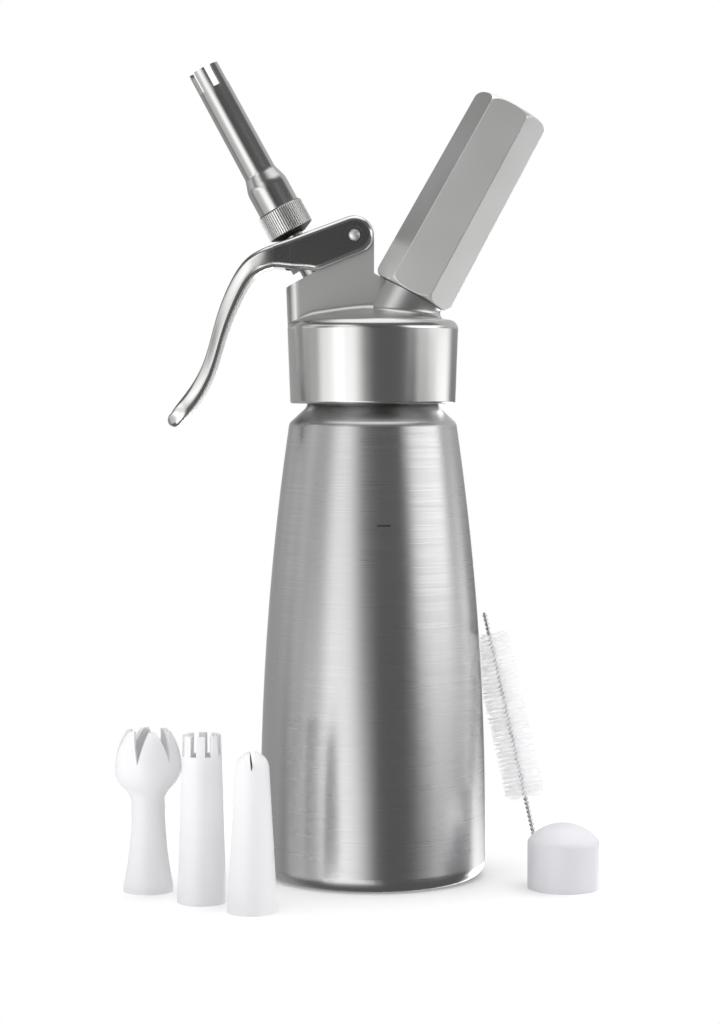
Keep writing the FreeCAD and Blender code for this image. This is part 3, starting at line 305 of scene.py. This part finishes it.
# ---------------------------------------------------------------- knurled ring
# Turned steel with a straight knurl. The tops of the knurl keep the steel's own bright colour, and shade is painted
# into its grooves in grey, so the colour goes by the distance from the stem's slanting axis.
STEM_POINT, STEM_LEAN = (-20.5 * MM, 0.0, 209.6 * MM), math.radians(28.5)
KNURL_GROOVE, KNURL_TOP = 7.88, 8.14
KNURL_GROOVE_SHADE, KNURL_BRIGHT = "#7E7E7D", "#F4F4F2"
ring_steel, tree, shader = new_material("knurled_steel", KNURL_BRIGHT, 0.42, 1.0)
place, _ = coordinates(tree)
from_point = add_node(tree, "ShaderNodeVectorMath", [(0, place), (1, STEM_POINT)], operation="SUBTRACT")
stem_axis = (-math.sin(STEM_LEAN), 0.0, math.cos(STEM_LEAN))
off_axis = add_node(
    tree, "ShaderNodeVectorMath", [(0, from_point.outputs[0]), (1, stem_axis)], operation="CROSS_PRODUCT"
)
distance = add_node(tree, "ShaderNodeVectorMath", [(0, off_axis.outputs[0])], operation="LENGTH")
# ridge is 0 deep in the grooves, where the grey painted shade goes, and 1 on the tops.
ridge = ramp(tree, distance.outputs["Value"], KNURL_GROOVE * MM, KNURL_TOP * MM)
colour_by(tree, shader, ridge, KNURL_GROOVE_SHADE, KNURL_BRIGHT)
worn = ramp(tree, noise_lines(tree, (0.5, 0.5, 0.5)), 0.35, 0.65, 0.36, 0.48)
tree.links.new(worn, shader.inputs["Roughness"])
finish_node("nozzle_ring", ring_steel)

# ---------------------------------------------------------------- lever
# Stainless steel casting, polished by hand, which leaves faint waves; the faces towards the bottle stay duller.
# Behind the web the grinder has left a soft ridge along the handle, which narrows evenly towards its tip. Places
# are in the lever's plane, in mm from the pivot.
WEB_END = np.array([-28.52, -3.35])
HANDLE_OUTER = [(-36.9, -7.6), (-43.15, -16.1), (-48.55, -30.1), (-53.6, -46.3), (-60.3, -56.8), (-64.1, -62.0)]
HANDLE_INNER = [(-61.2, -66.2), (-55.95, -60.6), (-49.4, -49.5), (-44.75, -34.9), (-38.85, -20.9)]
HANDLE_ROOT = [(-32.8, -12.9), (-27.65, -11.2), (-22.85, -11.6), (-15.0, -12.2)]
OUTER_ENDS = np.array([(-0.9373, -0.3486), (-6.0, -10.0)])
INNER_ENDS = np.array([(8.0, 9.0), (0.99, -0.08)])
RIDGE, OUTER_SLOPE, INNER_SLOPE = 0.35, 1.6, 0.55
WEB_HALF, HANDLE_HALF, TAPER, TIP_START = 10.0, 6.7, (27.0, 60.0), -58.7
BEND_START, BEND_REACH, BEND_RADIUS = -22.0, 7.0, 15.67
FLANK_FROM, JOINT_AHEAD, WEB_BELOW_PIVOT, EDGE_ANGLE = 7.4, 0.6, 7.2, 32
POLISHED, LEFT_DULL = 0.17, 0.6


def smooth_curve(points, first, last, count):
    """Cubic spline in the plane through the points, with chord length as its parameter and given end directions.

    The slopes at the points solve the linear system that makes the curvature continuous.
    """
    points = np.array(points)
    chord = np.linalg.norm(np.diff(points, axis=0), axis=1)
    knots = np.concatenate([[0.0], np.cumsum(chord)])
    size = len(points)
    system, wanted = np.eye(size), np.zeros((size, 2))
    wanted[0], wanted[-1] = first / np.linalg.norm(first), last / np.linalg.norm(last)
    inside = np.arange(1, size - 1)
    before, after = chord[:-1], chord[1:]
    system[inside, inside - 1], system[inside, inside], system[inside, inside + 1] = after, 2 * (before + after), before
    steps = np.diff(points, axis=0)
    wanted[inside] = 3 * (steps[:-1] * (after / before)[:, None] + steps[1:] * (before / after)[:, None])
    slope = np.linalg.solve(system, wanted)
    place = np.linspace(0, knots[-1], count)
    k = np.clip(np.searchsorted(knots, place) - 1, 0, size - 2)
    s, length = ((place - knots[k]) / chord[k])[:, None], chord[k][:, None]
    return (
        (2 * s**3 - 3 * s**2 + 1) * points[k]
        + (s**3 - 2 * s**2 + s) * length * slope[k]
        + (3 * s**2 - 2 * s**3) * points[k + 1]
        + (s**3 - s**2) * length * slope[k + 1]
    )


def ease(value, start, end):
    """0 at start, 1 at end, smooth between."""
    t = np.clip((value - start) / (end - start), 0, 1)
    return t * t * (3 - 2 * t)


def lever_half_width(x):
    """Half the lever's width: WEB_HALF over the web, narrowing to HANDLE_HALF, with a half round tip."""
    taper = WEB_HALF - (WEB_HALF - HANDLE_HALF) * ease(-x, *TAPER)
    into_tip = np.clip(TIP_START - x, 0, None) / HANDLE_HALF
    return taper * np.sqrt(np.clip(1 - into_tip**2, 0.0002, None))


def casting_half_width(x):
    """Half the casting's width: two arcs, each BEND_REACH long, take it from WEB_HALF to HANDLE_HALF."""
    bend_end = BEND_START - 2 * BEND_REACH
    first = BEND_RADIUS - np.sqrt(BEND_RADIUS**2 - np.clip(BEND_START - x, 0, BEND_REACH) ** 2)
    second = BEND_RADIUS - np.sqrt(BEND_RADIUS**2 - np.clip(x - bend_end, 0, BEND_REACH) ** 2)
    return np.where(x > BEND_START - BEND_REACH, WEB_HALF - first, HANDLE_HALF + second)


def handle_line(stations, tip_steps=10, thickest=14.0):
    """Each section's middle, its direction across and its half thickness.

    Across is straight down at the web, square to the outer outline along the handle, and towards the inner
    outline's end at the tip. The thickness is the way along it to the inner outline. Past the last section the half
    thickness follows a half circle.
    """
    outer = smooth_curve([WEB_END, *HANDLE_OUTER], *OUTER_ENDS, stations)
    inner = smooth_curve(HANDLE_INNER + HANDLE_ROOT, *INNER_ENDS, 4000)
    tangent = np.gradient(outer, axis=0)
    across = np.stack([-tangent[:, 1], tangent[:, 0]], axis=1)
    across /= np.linalg.norm(across, axis=1)[:, None]
    share = np.linspace(0, 1, stations)[:, None]
    tip_across = inner[0] - outer[-1]
    tip_across = tip_across / np.linalg.norm(tip_across)
    across = across + (np.array([0.0, -1.0]) - across) * (1 - ease(share, 0, 0.14))
    across = across + (tip_across - across) * ease(share, 0.75, 1.0)
    across /= np.linalg.norm(across, axis=1)[:, None]
    gap = inner[None] - outer[:, None]
    off_line = np.abs(gap[..., 0] * across[:, None, 1] - gap[..., 1] * across[:, None, 0])
    reach = (gap * across[:, None]).sum(-1)
    nearest = np.argmin(off_line + 100 * ((reach < 0) | (reach > thickest)), axis=1)
    thickness = reach[np.arange(stations), nearest]
    middle = outer + across * thickness[:, None] / 2
    half = thickness / 2
    end_turn = np.radians(np.linspace(10, 88, tip_steps))
    end_ahead = np.array([tip_across[1], -tip_across[0]])
    middle = np.concatenate([middle, middle[-1] + half[-1] * np.sin(end_turn)[:, None] * end_ahead])
    across = np.concatenate([across, np.repeat(across[-1:], tip_steps, axis=0)])
    half = np.concatenate([half, half[-1] * np.cos(end_turn)])
    return middle, across, half


def handle_rings(stations=96, corner_steps=8, side_steps=12, corner=1.8):
    """Sections from the outer to the inner outline, each a rounded rectangle whose sides lean in from a ridge.

    The ridge lies RIDGE of the half thickness inwards from the middle. A share s of the way from it to the outer
    edge a side has dropped by OUTER_SLOPE s ^ 1.3, and towards the inner edge by INNER_SLOPE s ^ 1.6.
    """
    middle, across, half = handle_line(stations)
    share = np.arange(len(half)) / stations
    width = lever_half_width(middle[:, 0])
    grown = ease(share, 0.02, 0.22)
    corner_u = np.minimum(corner + (0.3 * half - corner) * grown, 0.45 * half)[:, None]
    corner_y = np.minimum(corner, 0.6 * width)[:, None]
    turn = np.radians(np.linspace(0, 90, corner_steps))
    straight = np.linspace(1, -1, side_steps + 2)[1:-1]
    half, width = half[:, None], width[:, None]
    crown = (grown * (1 - 0.6 * ease(share, 0.8, 1.0)))[:, None]
    side_u = np.concatenate(
        [
            half - corner_u + corner_u * np.cos(turn),
            (half - corner_u) * straight,
            corner_u - half - corner_u * np.sin(turn),
        ],
        axis=1,
    )
    side_y = np.concatenate(
        [
            width - corner_y + corner_y * np.sin(turn),
            width + 0 * side_u[:, :side_steps],
            width - corner_y + corner_y * np.cos(turn),
        ],
        axis=1,
    )
    outwards = np.clip(side_u / half + RIDGE, 0, None) / (1 + RIDGE)
    inwards = np.clip(-side_u / half - RIDGE, 0, None) / (1 - RIDGE)
    side_y -= crown * (OUTER_SLOPE * outwards**1.3 + INNER_SLOPE * inwards**1.6)
    u = np.concatenate([side_u, side_u[:, ::-1]], axis=1)
    y = np.concatenate([side_y, -side_y[:, ::-1]], axis=1)
    in_plane = PIVOT + middle[:, None] - across[:, None] * u[..., None]
    return np.stack([in_plane[..., 0], y, in_plane[..., 1]], axis=-1)


def join_by_angle(made, middle_z, flatness=2.4):
    """Closes the gap between the two open outlines with triangles.

    Both outlines go round the line y = 0, z = middle_z; each triangle steps on along the one whose next corner has
    the smaller angle round it, with heights stretched by the outlines' flatness.
    """
    corners = {vert for edge in made.edges if edge.is_boundary for vert in edge.verts}
    split = 0.5 * (min(vert.co.x for vert in corners) + max(vert.co.x for vert in corners))

    def angle(vert):
        return math.atan2((vert.co.z / MM - middle_z) * flatness, vert.co.y / MM)

    first = sorted((vert for vert in corners if vert.co.x > split), key=angle)
    second = sorted((vert for vert in corners if vert.co.x <= split), key=angle)
    i = j = 0
    while i < len(first) or j < len(second):
        next_first = angle(first[(i + 1) % len(first)]) + 2 * math.pi * (i + 1 >= len(first))
        next_second = angle(second[(j + 1) % len(second)]) + 2 * math.pi * (j + 1 >= len(second))
        here, there = first[i % len(first)], second[j % len(second)]
        if i < len(first) and (j == len(second) or next_first <= next_second):
            i += 1
            made.faces.new((here, first[i % len(first)], there))
        else:
            j += 1
            made.faces.new((here, second[j % len(second)], there))


lever_steel, tree, shader = new_material("cast_steel_polished", "#D8D8D7", POLISHED, 1.0)
_, normal = coordinates(tree, "Normal")
tree.links.new(ramp(tree, normal["X"], 0.5, 0.8, POLISHED, LEFT_DULL), shader.inputs["Roughness"])
add_bump(tree, shader, noise_lines(tree, (14.0, 14.0, 14.0), 1.0), 0.04, 0.3)
finish_node("lever", lever_steel)

# The finished lever is the casting cut off at the web's end and the handle, joined into one mesh.
lever_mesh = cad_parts["lever"].data.copy()
lever_mesh.name = "lever_casting"
true_normals = lever_mesh.attributes.new("casting_normal", "FLOAT_VECTOR", "CORNER")
true_normals.data.foreach_set("vector", np.array([n.vector for n in lever_mesh.corner_normals]).ravel())
casting = bmesh.new()
casting.from_mesh(lever_mesh)
bmesh.ops.remove_doubles(casting, verts=casting.verts, dist=0.002 * MM)
bmesh.ops.bisect_plane(
    casting,
    geom=casting.verts[:] + casting.edges[:] + casting.faces[:],
    plane_co=((PIVOT[0] + WEB_END[0] + JOINT_AHEAD) * MM, 0, 0),
    plane_no=(1, 0, 0),
    clear_inner=True,
)
for vert in casting.verts:
    along_lever, from_middle = vert.co.x / MM - PIVOT[0], abs(vert.co.y) / MM
    wider = lever_half_width(along_lever) - casting_half_width(along_lever)
    if from_middle > FLANK_FROM and wider > 0:
        vert.co.y += math.copysign(float(wider) * MM, vert.co.y)
handle = closed_strip("lever_handle_blank", handle_rings())
casting.from_mesh(handle.data)
bpy.data.objects.remove(handle)
blank_end = [
    face for face in casting.faces if len(face.verts) > 50 and face.calc_center_median().x > -40 * MM
]
bmesh.ops.delete(casting, geom=blank_end, context="FACES_ONLY")
join_by_angle(casting, PIVOT[1] - WEB_BELOW_PIVOT)
bmesh.ops.recalc_face_normals(casting, faces=casting.faces[:])
casting.to_mesh(lever_mesh)
casting.free()
lever_mesh.polygons.foreach_set("use_smooth", [True] * len(lever_mesh.polygons))
lever_mesh.set_sharp_from_angle(angle=math.radians(EDGE_ANGLE))

# The casting keeps its exact normals, turned back by the angle of the arc that the widening straightened. The
# handle's are zero, which leaves them to be worked out from its faces.
normals, places = np.zeros((len(lever_mesh.loops), 3)), np.zeros((len(lever_mesh.vertices), 3))
lever_mesh.attributes["casting_normal"].data.foreach_get("vector", normals.ravel())
lever_mesh.vertices.foreach_get("co", places.ravel())
places = places[[loop.vertex_index for loop in lever_mesh.loops]] / MM
along_arc = np.clip(BEND_START - (places[:, 0] - PIVOT[0]), 0, BEND_REACH)
on_flank = np.sign(places[:, 1]) * (np.abs(places[:, 1]) > FLANK_FROM)
turn = -on_flank * np.arcsin(along_arc / BEND_RADIUS)
normals = np.stack(
    [
        np.cos(turn) * normals[:, 0] - np.sin(turn) * normals[:, 1],
        np.sin(turn) * normals[:, 0] + np.cos(turn) * normals[:, 1],
        normals[:, 2],
    ],
    axis=-1,
)
lever_mesh.attributes.remove(lever_mesh.attributes["casting_normal"])
lever_mesh.normals_split_custom_set(normals.tolist())
lever_casting = bpy.data.objects.new("lever_casting", lever_mesh)
bpy.context.scene.collection.objects.link(lever_casting)
lever_mesh.materials.clear()
lever_mesh.materials.append(lever_steel)
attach(lever_casting, "lever")
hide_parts("lever")

# ---------------------------------------------------------------- charger and holder
# The gas cartridge is zinc plated mild steel. The holder over it is a casting with flat sides, blasted to an even
# matt grey, which also takes the sharpness off its edges.
charger_steel, tree, shader = new_material("zinc_plated_steel", "#A9ABAD", 0.35, 1.0)
vary(tree, shader, 5.0, (0.3, 0.42), ("#A0A2A4", "#B2B4B6"))
finish_node("charger", charger_steel)
holder_steel, tree, shader = new_material("cast_steel_matt", "#FCFCFA", 0.43, 1.0)
vary(tree, shader, 30.0, (0.4, 0.45), ("#FAFAF8", "#FFFFFF"))
edges = add_node(tree, "ShaderNodeBevel", [("Radius", 0.5 * MM)], samples=6)
tree.links.new(edges.outputs[0], shader.inputs["Normal"])
finish_node("charger_holder", holder_steel)

# ---------------------------------------------------------------- tips and cap
# Injection moulded polypropylene tips, smooth with slight sink marks. The cap is a thicker polyethylene moulding
# in a cooler white.
tip_plastic, tree, shader = new_material("polypropylene_white", "#F5F5F7", 0.35)
vary(tree, shader, 20.0, (0.31, 0.37), ("#F4F4F6", "#F6F6F8"))
add_bump(tree, shader, noise_lines(tree, (6.0, 6.0, 6.0), 1.0), 0.04, 0.3)
for name in ("tulip_tip", "crown_tip", "slit_tip"):
    finish_node(name, tip_plastic)
cap_plastic, tree, shader = new_material("polyethylene_cool_white", "#E8E7EC", 0.3)
vary(tree, shader, 25.0, (0.28, 0.33), ("#E7E6EB", "#EAE9EE"))
add_bump(tree, shader, noise_lines(tree, (8.0, 8.0, 8.0), 1.0), 0.05, 0.3)
finish_node("cap", cap_plastic)

# ---------------------------------------------------------------- cleaning brush
# Two steel wires twisted round nylon filaments, which stand out in a double spiral. The filaments bend round the
# bottle where they meet it, and lie flatter at the front and the back, so the wire shows between them.
BRUSH_LEAN, BRUSH_TURN = math.radians(13.8), math.radians(153.4)
BRUSH_FOOT = np.array([58.8, -13.0, 0.199])
brush_along = np.array(
    [
        math.sin(BRUSH_LEAN) * math.cos(BRUSH_TURN),
        math.sin(BRUSH_LEAN) * math.sin(BRUSH_TURN),
        math.cos(BRUSH_LEAN),
    ]
)
brush_side = np.array([-math.sin(BRUSH_TURN), math.cos(BRUSH_TURN), 0.0])
brush_out = np.cross(brush_along, brush_side)
WIRE_PITCH = 3.0


def beside_brush(distance, angle):
    """Offset from the brush's middle line: distance mm away, at an angle round it."""
    return distance[..., None] * (
        np.cos(angle)[..., None] * brush_side + np.sin(angle)[..., None] * brush_out
    )


def wire_strand(name, phase, radius=0.42, length=93.6, sides=10):
    """A round strand on a helix: its middle is radius away from the brush's line and turns once each pitch."""
    along = np.linspace(0, length, 380)
    turn = 2 * math.pi * along / WIRE_PITCH + phase
    middle = BRUSH_FOOT + along[:, None] * brush_along + beside_brush(np.full(along.shape, radius), turn)
    round_it = np.linspace(0, 2 * math.pi, sides, endpoint=False)
    ring = beside_brush(np.full(sides, radius), round_it)
    return closed_strip(name, middle[:, None] + ring[None])


wire_steel, tree, shader = new_material("galvanised_wire", "#E6E6E8", 0.25, 1.0)
vary(tree, shader, 0.6, (0.2, 0.3), ("#DADADC", "#F0F0F2"))
strands = [wire_strand(f"brush_strand_{number}", number * math.pi) for number in range(2)]
for strand in strands:
    strand.data.materials.append(wire_steel)
    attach(strand, "brush")
    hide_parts("brush_wire")


def bottle_radius(height, base=39.2, straight=20.0, arc=950.0):
    """The bottle's outer radius at a height: its base's up to where it is straight, then an arc leaning in."""
    return base - arc + np.sqrt(arc**2 - np.clip(height - straight, 0, None) ** 2)


def filaments(
    name, count=1500, thickness=0.1, start=28.5, length=57.5, reach=7.0, scatter=0.3, lean_by=0.42, flatter=0.24
):
    """Tapered three-sided spikes in two opposite spiral rows; each leans and varies a little in length.

    A spike at an angle a round the wire is moved to a - flatter sin 2a, away from the front and the back. Where its
    tip would be less than clear from the bottle it bends round the wire by steps, and gets a little shorter.
    """
    bend_steps, bend, shorter, clear = 14, 0.14, 0.985, 0.35
    chance = np.random.default_rng(11)
    along = np.tile(np.linspace(start + 0.4, start + length - 0.4, count), 2)
    phase = np.repeat([0.0, math.pi], count)
    angle = 2 * math.pi * along / WIRE_PITCH + phase + math.pi / 2 + chance.normal(0, scatter, 2 * count)
    size = reach * (1 - 0.07 * chance.random(2 * count))
    root = BRUSH_FOOT + along[:, None] * brush_along
    lean = chance.normal(0, lean_by, 2 * count)
    angle = angle - flatter * np.sin(2 * angle)
    straight = beside_brush(size - 0.02, angle)
    toward = np.where(np.cos(angle) > 0, 0.0, math.pi)
    for _ in range(bend_steps):
        tip = root + straight + lean[:, None] * brush_along
        inside = np.hypot(tip[:, 0], tip[:, 1]) < bottle_radius(tip[:, 2]) + clear
        turn = np.arctan2(np.sin(toward - angle), np.cos(toward - angle))
        angle = np.where(inside, angle + np.clip(turn, -bend, bend), angle)
        size = np.where(inside, shorter * size, size)
        straight = beside_brush(size - 0.02, angle)
    tip = root + straight + lean[:, None] * brush_along
    across = np.cross(straight, brush_along)
    across /= np.linalg.norm(across, axis=1)[:, None]
    corners = []
    for k in range(3):
        turn = 2 * math.pi * k / 3
        offset = thickness * (math.cos(turn) * across + math.sin(turn) * brush_along)
        corners += [root + offset, tip + 0.8 * offset]
    points = np.stack(corners, axis=1)
    base = np.arange(2 * count)[:, None] * 6
    quads = [[0, 1, 3, 2], [2, 3, 5, 4], [4, 5, 1, 0]]
    faces = np.concatenate([base + np.array(quad) for quad in quads]).tolist()
    faces += (base + np.array([1, 5, 3])).tolist() + (base + np.array([0, 2, 4])).tolist()
    mesh = bpy.data.meshes.new(name)
    mesh.from_pydata((points.reshape(-1, 3) * MM).tolist(), [], faces)
    mesh.update()
    made = bpy.data.objects.new(name, mesh)
    bpy.context.scene.collection.objects.link(made)
    return made


# The filaments glow a little with a painted light of their own: white emission that stands in for light passing through
# the translucent nylon.
glowing_nylon, tree, shader = new_material(
    "nylon_filament_painted_glow", "#F4F4F5", 0.4, Emission_Color=(1, 1, 1, 1), Emission_Strength=0.13
)
vary(tree, shader, 2.4, (0.35, 0.5), ("#E6E6E8", "#FEFEFE"))
bristles = filaments("brush_filaments")
bristles.data.materials.append(glowing_nylon)
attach(bristles, "brush")
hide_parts("brush_bristles")

# ---------------------------------------------------------------- table and studio
# A round white table top. Seen by the camera it adds a little light of its own, so it runs into the white
# background and still shows the soft shadows.
TABLE_RADIUS, TABLE_CORNERS, TABLE_GLOW = 150.0, 128, 0.18
around_it = np.linspace(0, 2 * math.pi, TABLE_CORNERS, endpoint=False)
rim = TABLE_RADIUS * MM * np.stack([np.cos(around_it), np.sin(around_it), 0 * around_it], axis=-1)
table_mesh = bpy.data.meshes.new("table_top")
table_mesh.from_pydata((rim - [0, 0, 0.01 * MM]).tolist(), [], [list(range(TABLE_CORNERS))])
table = bpy.data.objects.new("table_top", table_mesh)
bpy.context.scene.collection.objects.link(table)
table_white, tree, shader = new_material("table_white", "#F6F6F6", 0.9)
ray = add_node(tree, "ShaderNodeLightPath")
seen = combine_values(tree, "MAXIMUM", ray.outputs["Is Camera Ray"], ray.outputs["Is Transmission Ray"])
tree.links.new(combine_values(tree, "MULTIPLY", seen, TABLE_GLOW), shader.inputs["Emission Strength"])
shader.inputs["Emission Color"].default_value = (1, 1, 1, 1)
table.data.materials.append(table_white)
table.visible_glossy = False

# The room by direction: azimuth 0 is the viewer's side and +90 the right. Tall soft light left and right of the
# viewer, a dim room behind the viewer, light above, and white behind the dispenser.
ROOM_LEVEL, DIFFUSE_GAIN = 0.13, 0.65
world = bpy.data.worlds.new("studio")
bpy.context.scene.world = world
world.use_nodes = True
tree = world.node_tree
background = tree.nodes["Background"]
_, sky = coordinates(tree, "Generated")
towards = combine_values(tree, "MULTIPLY", sky["Y"], -1.0)
azimuth = add_node(tree, "ShaderNodeMath", [(0, sky["X"]), (1, towards)], operation="ARCTAN2")


def light_field(strength, azimuths, heights, leans=(0.0, 0.0)):
    """A soft-edged panel: four azimuths in degrees, four heights (sine of the elevation), and its edges' leans."""
    turn = [math.radians(a) for a in azimuths]
    leaning = [combine_values(tree, "MULTIPLY", sky["Z"], math.radians(lean)) for lean in leans]
    left, right = [combine_values(tree, "ADD", azimuth.outputs[0], lean) for lean in leaning]
    return combine_values(
        tree,
        "MULTIPLY",
        ramp(tree, left, turn[0], turn[1]),
        ramp(tree, right, turn[3], turn[2]),
        ramp(tree, sky["Z"], heights[0], heights[1]),
        ramp(tree, sky["Z"], heights[3], heights[2]),
        strength,
    )


whole_turn = (-200, -190, 190, 200)
skirt_level = (-0.13, -0.08, -0.02, 0.03)
room = combine_values(
    tree,
    "ADD",
    ROOM_LEVEL,
    # On the left: a tall panel, a high one, more light on the tall one's lower half, a low one, a weak far one.
    light_field(0.74, (-66, -40, -24, -3), (-0.8, -0.55, 0.35, 0.6), (0, 28)),
    light_field(0.7, (-104, -84, -38, -20), (0.16, 0.24, 0.42, 0.5)),
    light_field(0.84, (-66, -40, -24, -3), (-0.8, -0.55, -0.2, 0.25), (0, 28)),
    light_field(0.6, (-108, -88, -64, -50), (-0.6, -0.4, -0.12, 0.0)),
    light_field(0.4, (-122, -104, -92, -76), (-0.12, 0.02, 0.3, 0.6)),
    # On the right: one strong panel, wider at its foot. In front: the viewer's own dark shape.
    light_field(2.3, (44, 63, 80, 103), (-0.27, -0.01, 0.24, 0.38), (45, -60)),
    light_field(-0.12, (-18, -10, 10, 18), (0.015, 0.045, 0.10, 0.14)),
    # Behind: a strip on the left, a weak fill on either side, and a strong low one on the right.
    light_field(0.6, (-150, -128, -84, -70), (0.035, 0.055, 0.09, 0.12)),
    light_field(0.3, (-200, -190, -116, -100), (-0.9, -0.6, 0.15, 0.45)),
    light_field(0.5, (100, 120, 190, 200), (-0.08, 0.12, 0.8, 0.95)),
    light_field(3.6, (118, 132, 190, 200), (-0.52, -0.46, -0.26, -0.16)),
    # Above, all the way round; then light and dark bands at the height that the upright skirt mirrors.
    light_field(1.3, whole_turn, (0.7, 0.92, 1.1, 1.2)),
    light_field(1.3, (-84, -72, -48, -38), skirt_level),
    light_field(-0.75, (-26, -19, -12, -4), skirt_level),
    light_field(-2.1, (48, 60, 76, 93), skirt_level),
    light_field(1.8, (88, 102, 118, 138), skirt_level),
)
ray = add_node(tree, "ShaderNodeLightPath")
backdrop = ramp(tree, sky["Y"], 0.96, 0.99)
sees_white = combine_values(
    tree,
    "MAXIMUM",
    ray.outputs["Is Camera Ray"],
    ray.outputs["Is Transmission Ray"],
    combine_values(tree, "MULTIPLY", ray.outputs["Is Glossy Ray"], backdrop),
)
matt_gain = combine_values(tree, "MULTIPLY", ray.outputs["Is Diffuse Ray"], DIFFUSE_GAIN)
level = combine_values(tree, "ADD", 1.0, matt_gain)
strength = add_node(
    tree,
    "ShaderNodeMix",
    [("Factor", sees_white), ("A", combine_values(tree, "MULTIPLY", room, level)), ("B", 1.0)],
    data_type="FLOAT",
)
background.inputs["Color"].default_value = (1, 1, 1, 1)
tree.links.new(strength.outputs["Result"], background.inputs["Strength"])

# ---------------------------------------------------------------- camera
# Level, at a height a little over half the object's, in front of it, with the frame shifted down to take in the
# table.
CAMERA_PLACE, FRAME_SHIFT, FRAME_HEIGHT = (-4.48, -840.0, 166.6), -116, 1024
camera_data = bpy.data.cameras.new("camera")
camera_data.lens = 84.375
camera_data.sensor_width = 36.0
camera_data.shift_y = FRAME_SHIFT / FRAME_HEIGHT
camera = bpy.data.objects.new("camera", camera_data)
camera.location = [value * MM for value in CAMERA_PLACE]
camera.rotation_euler = (math.pi / 2, 0, 0)
bpy.context.scene.collection.objects.link(camera)
bpy.context.scene.camera = camera
bpy.context.scene.view_settings.view_transform = "Standard"
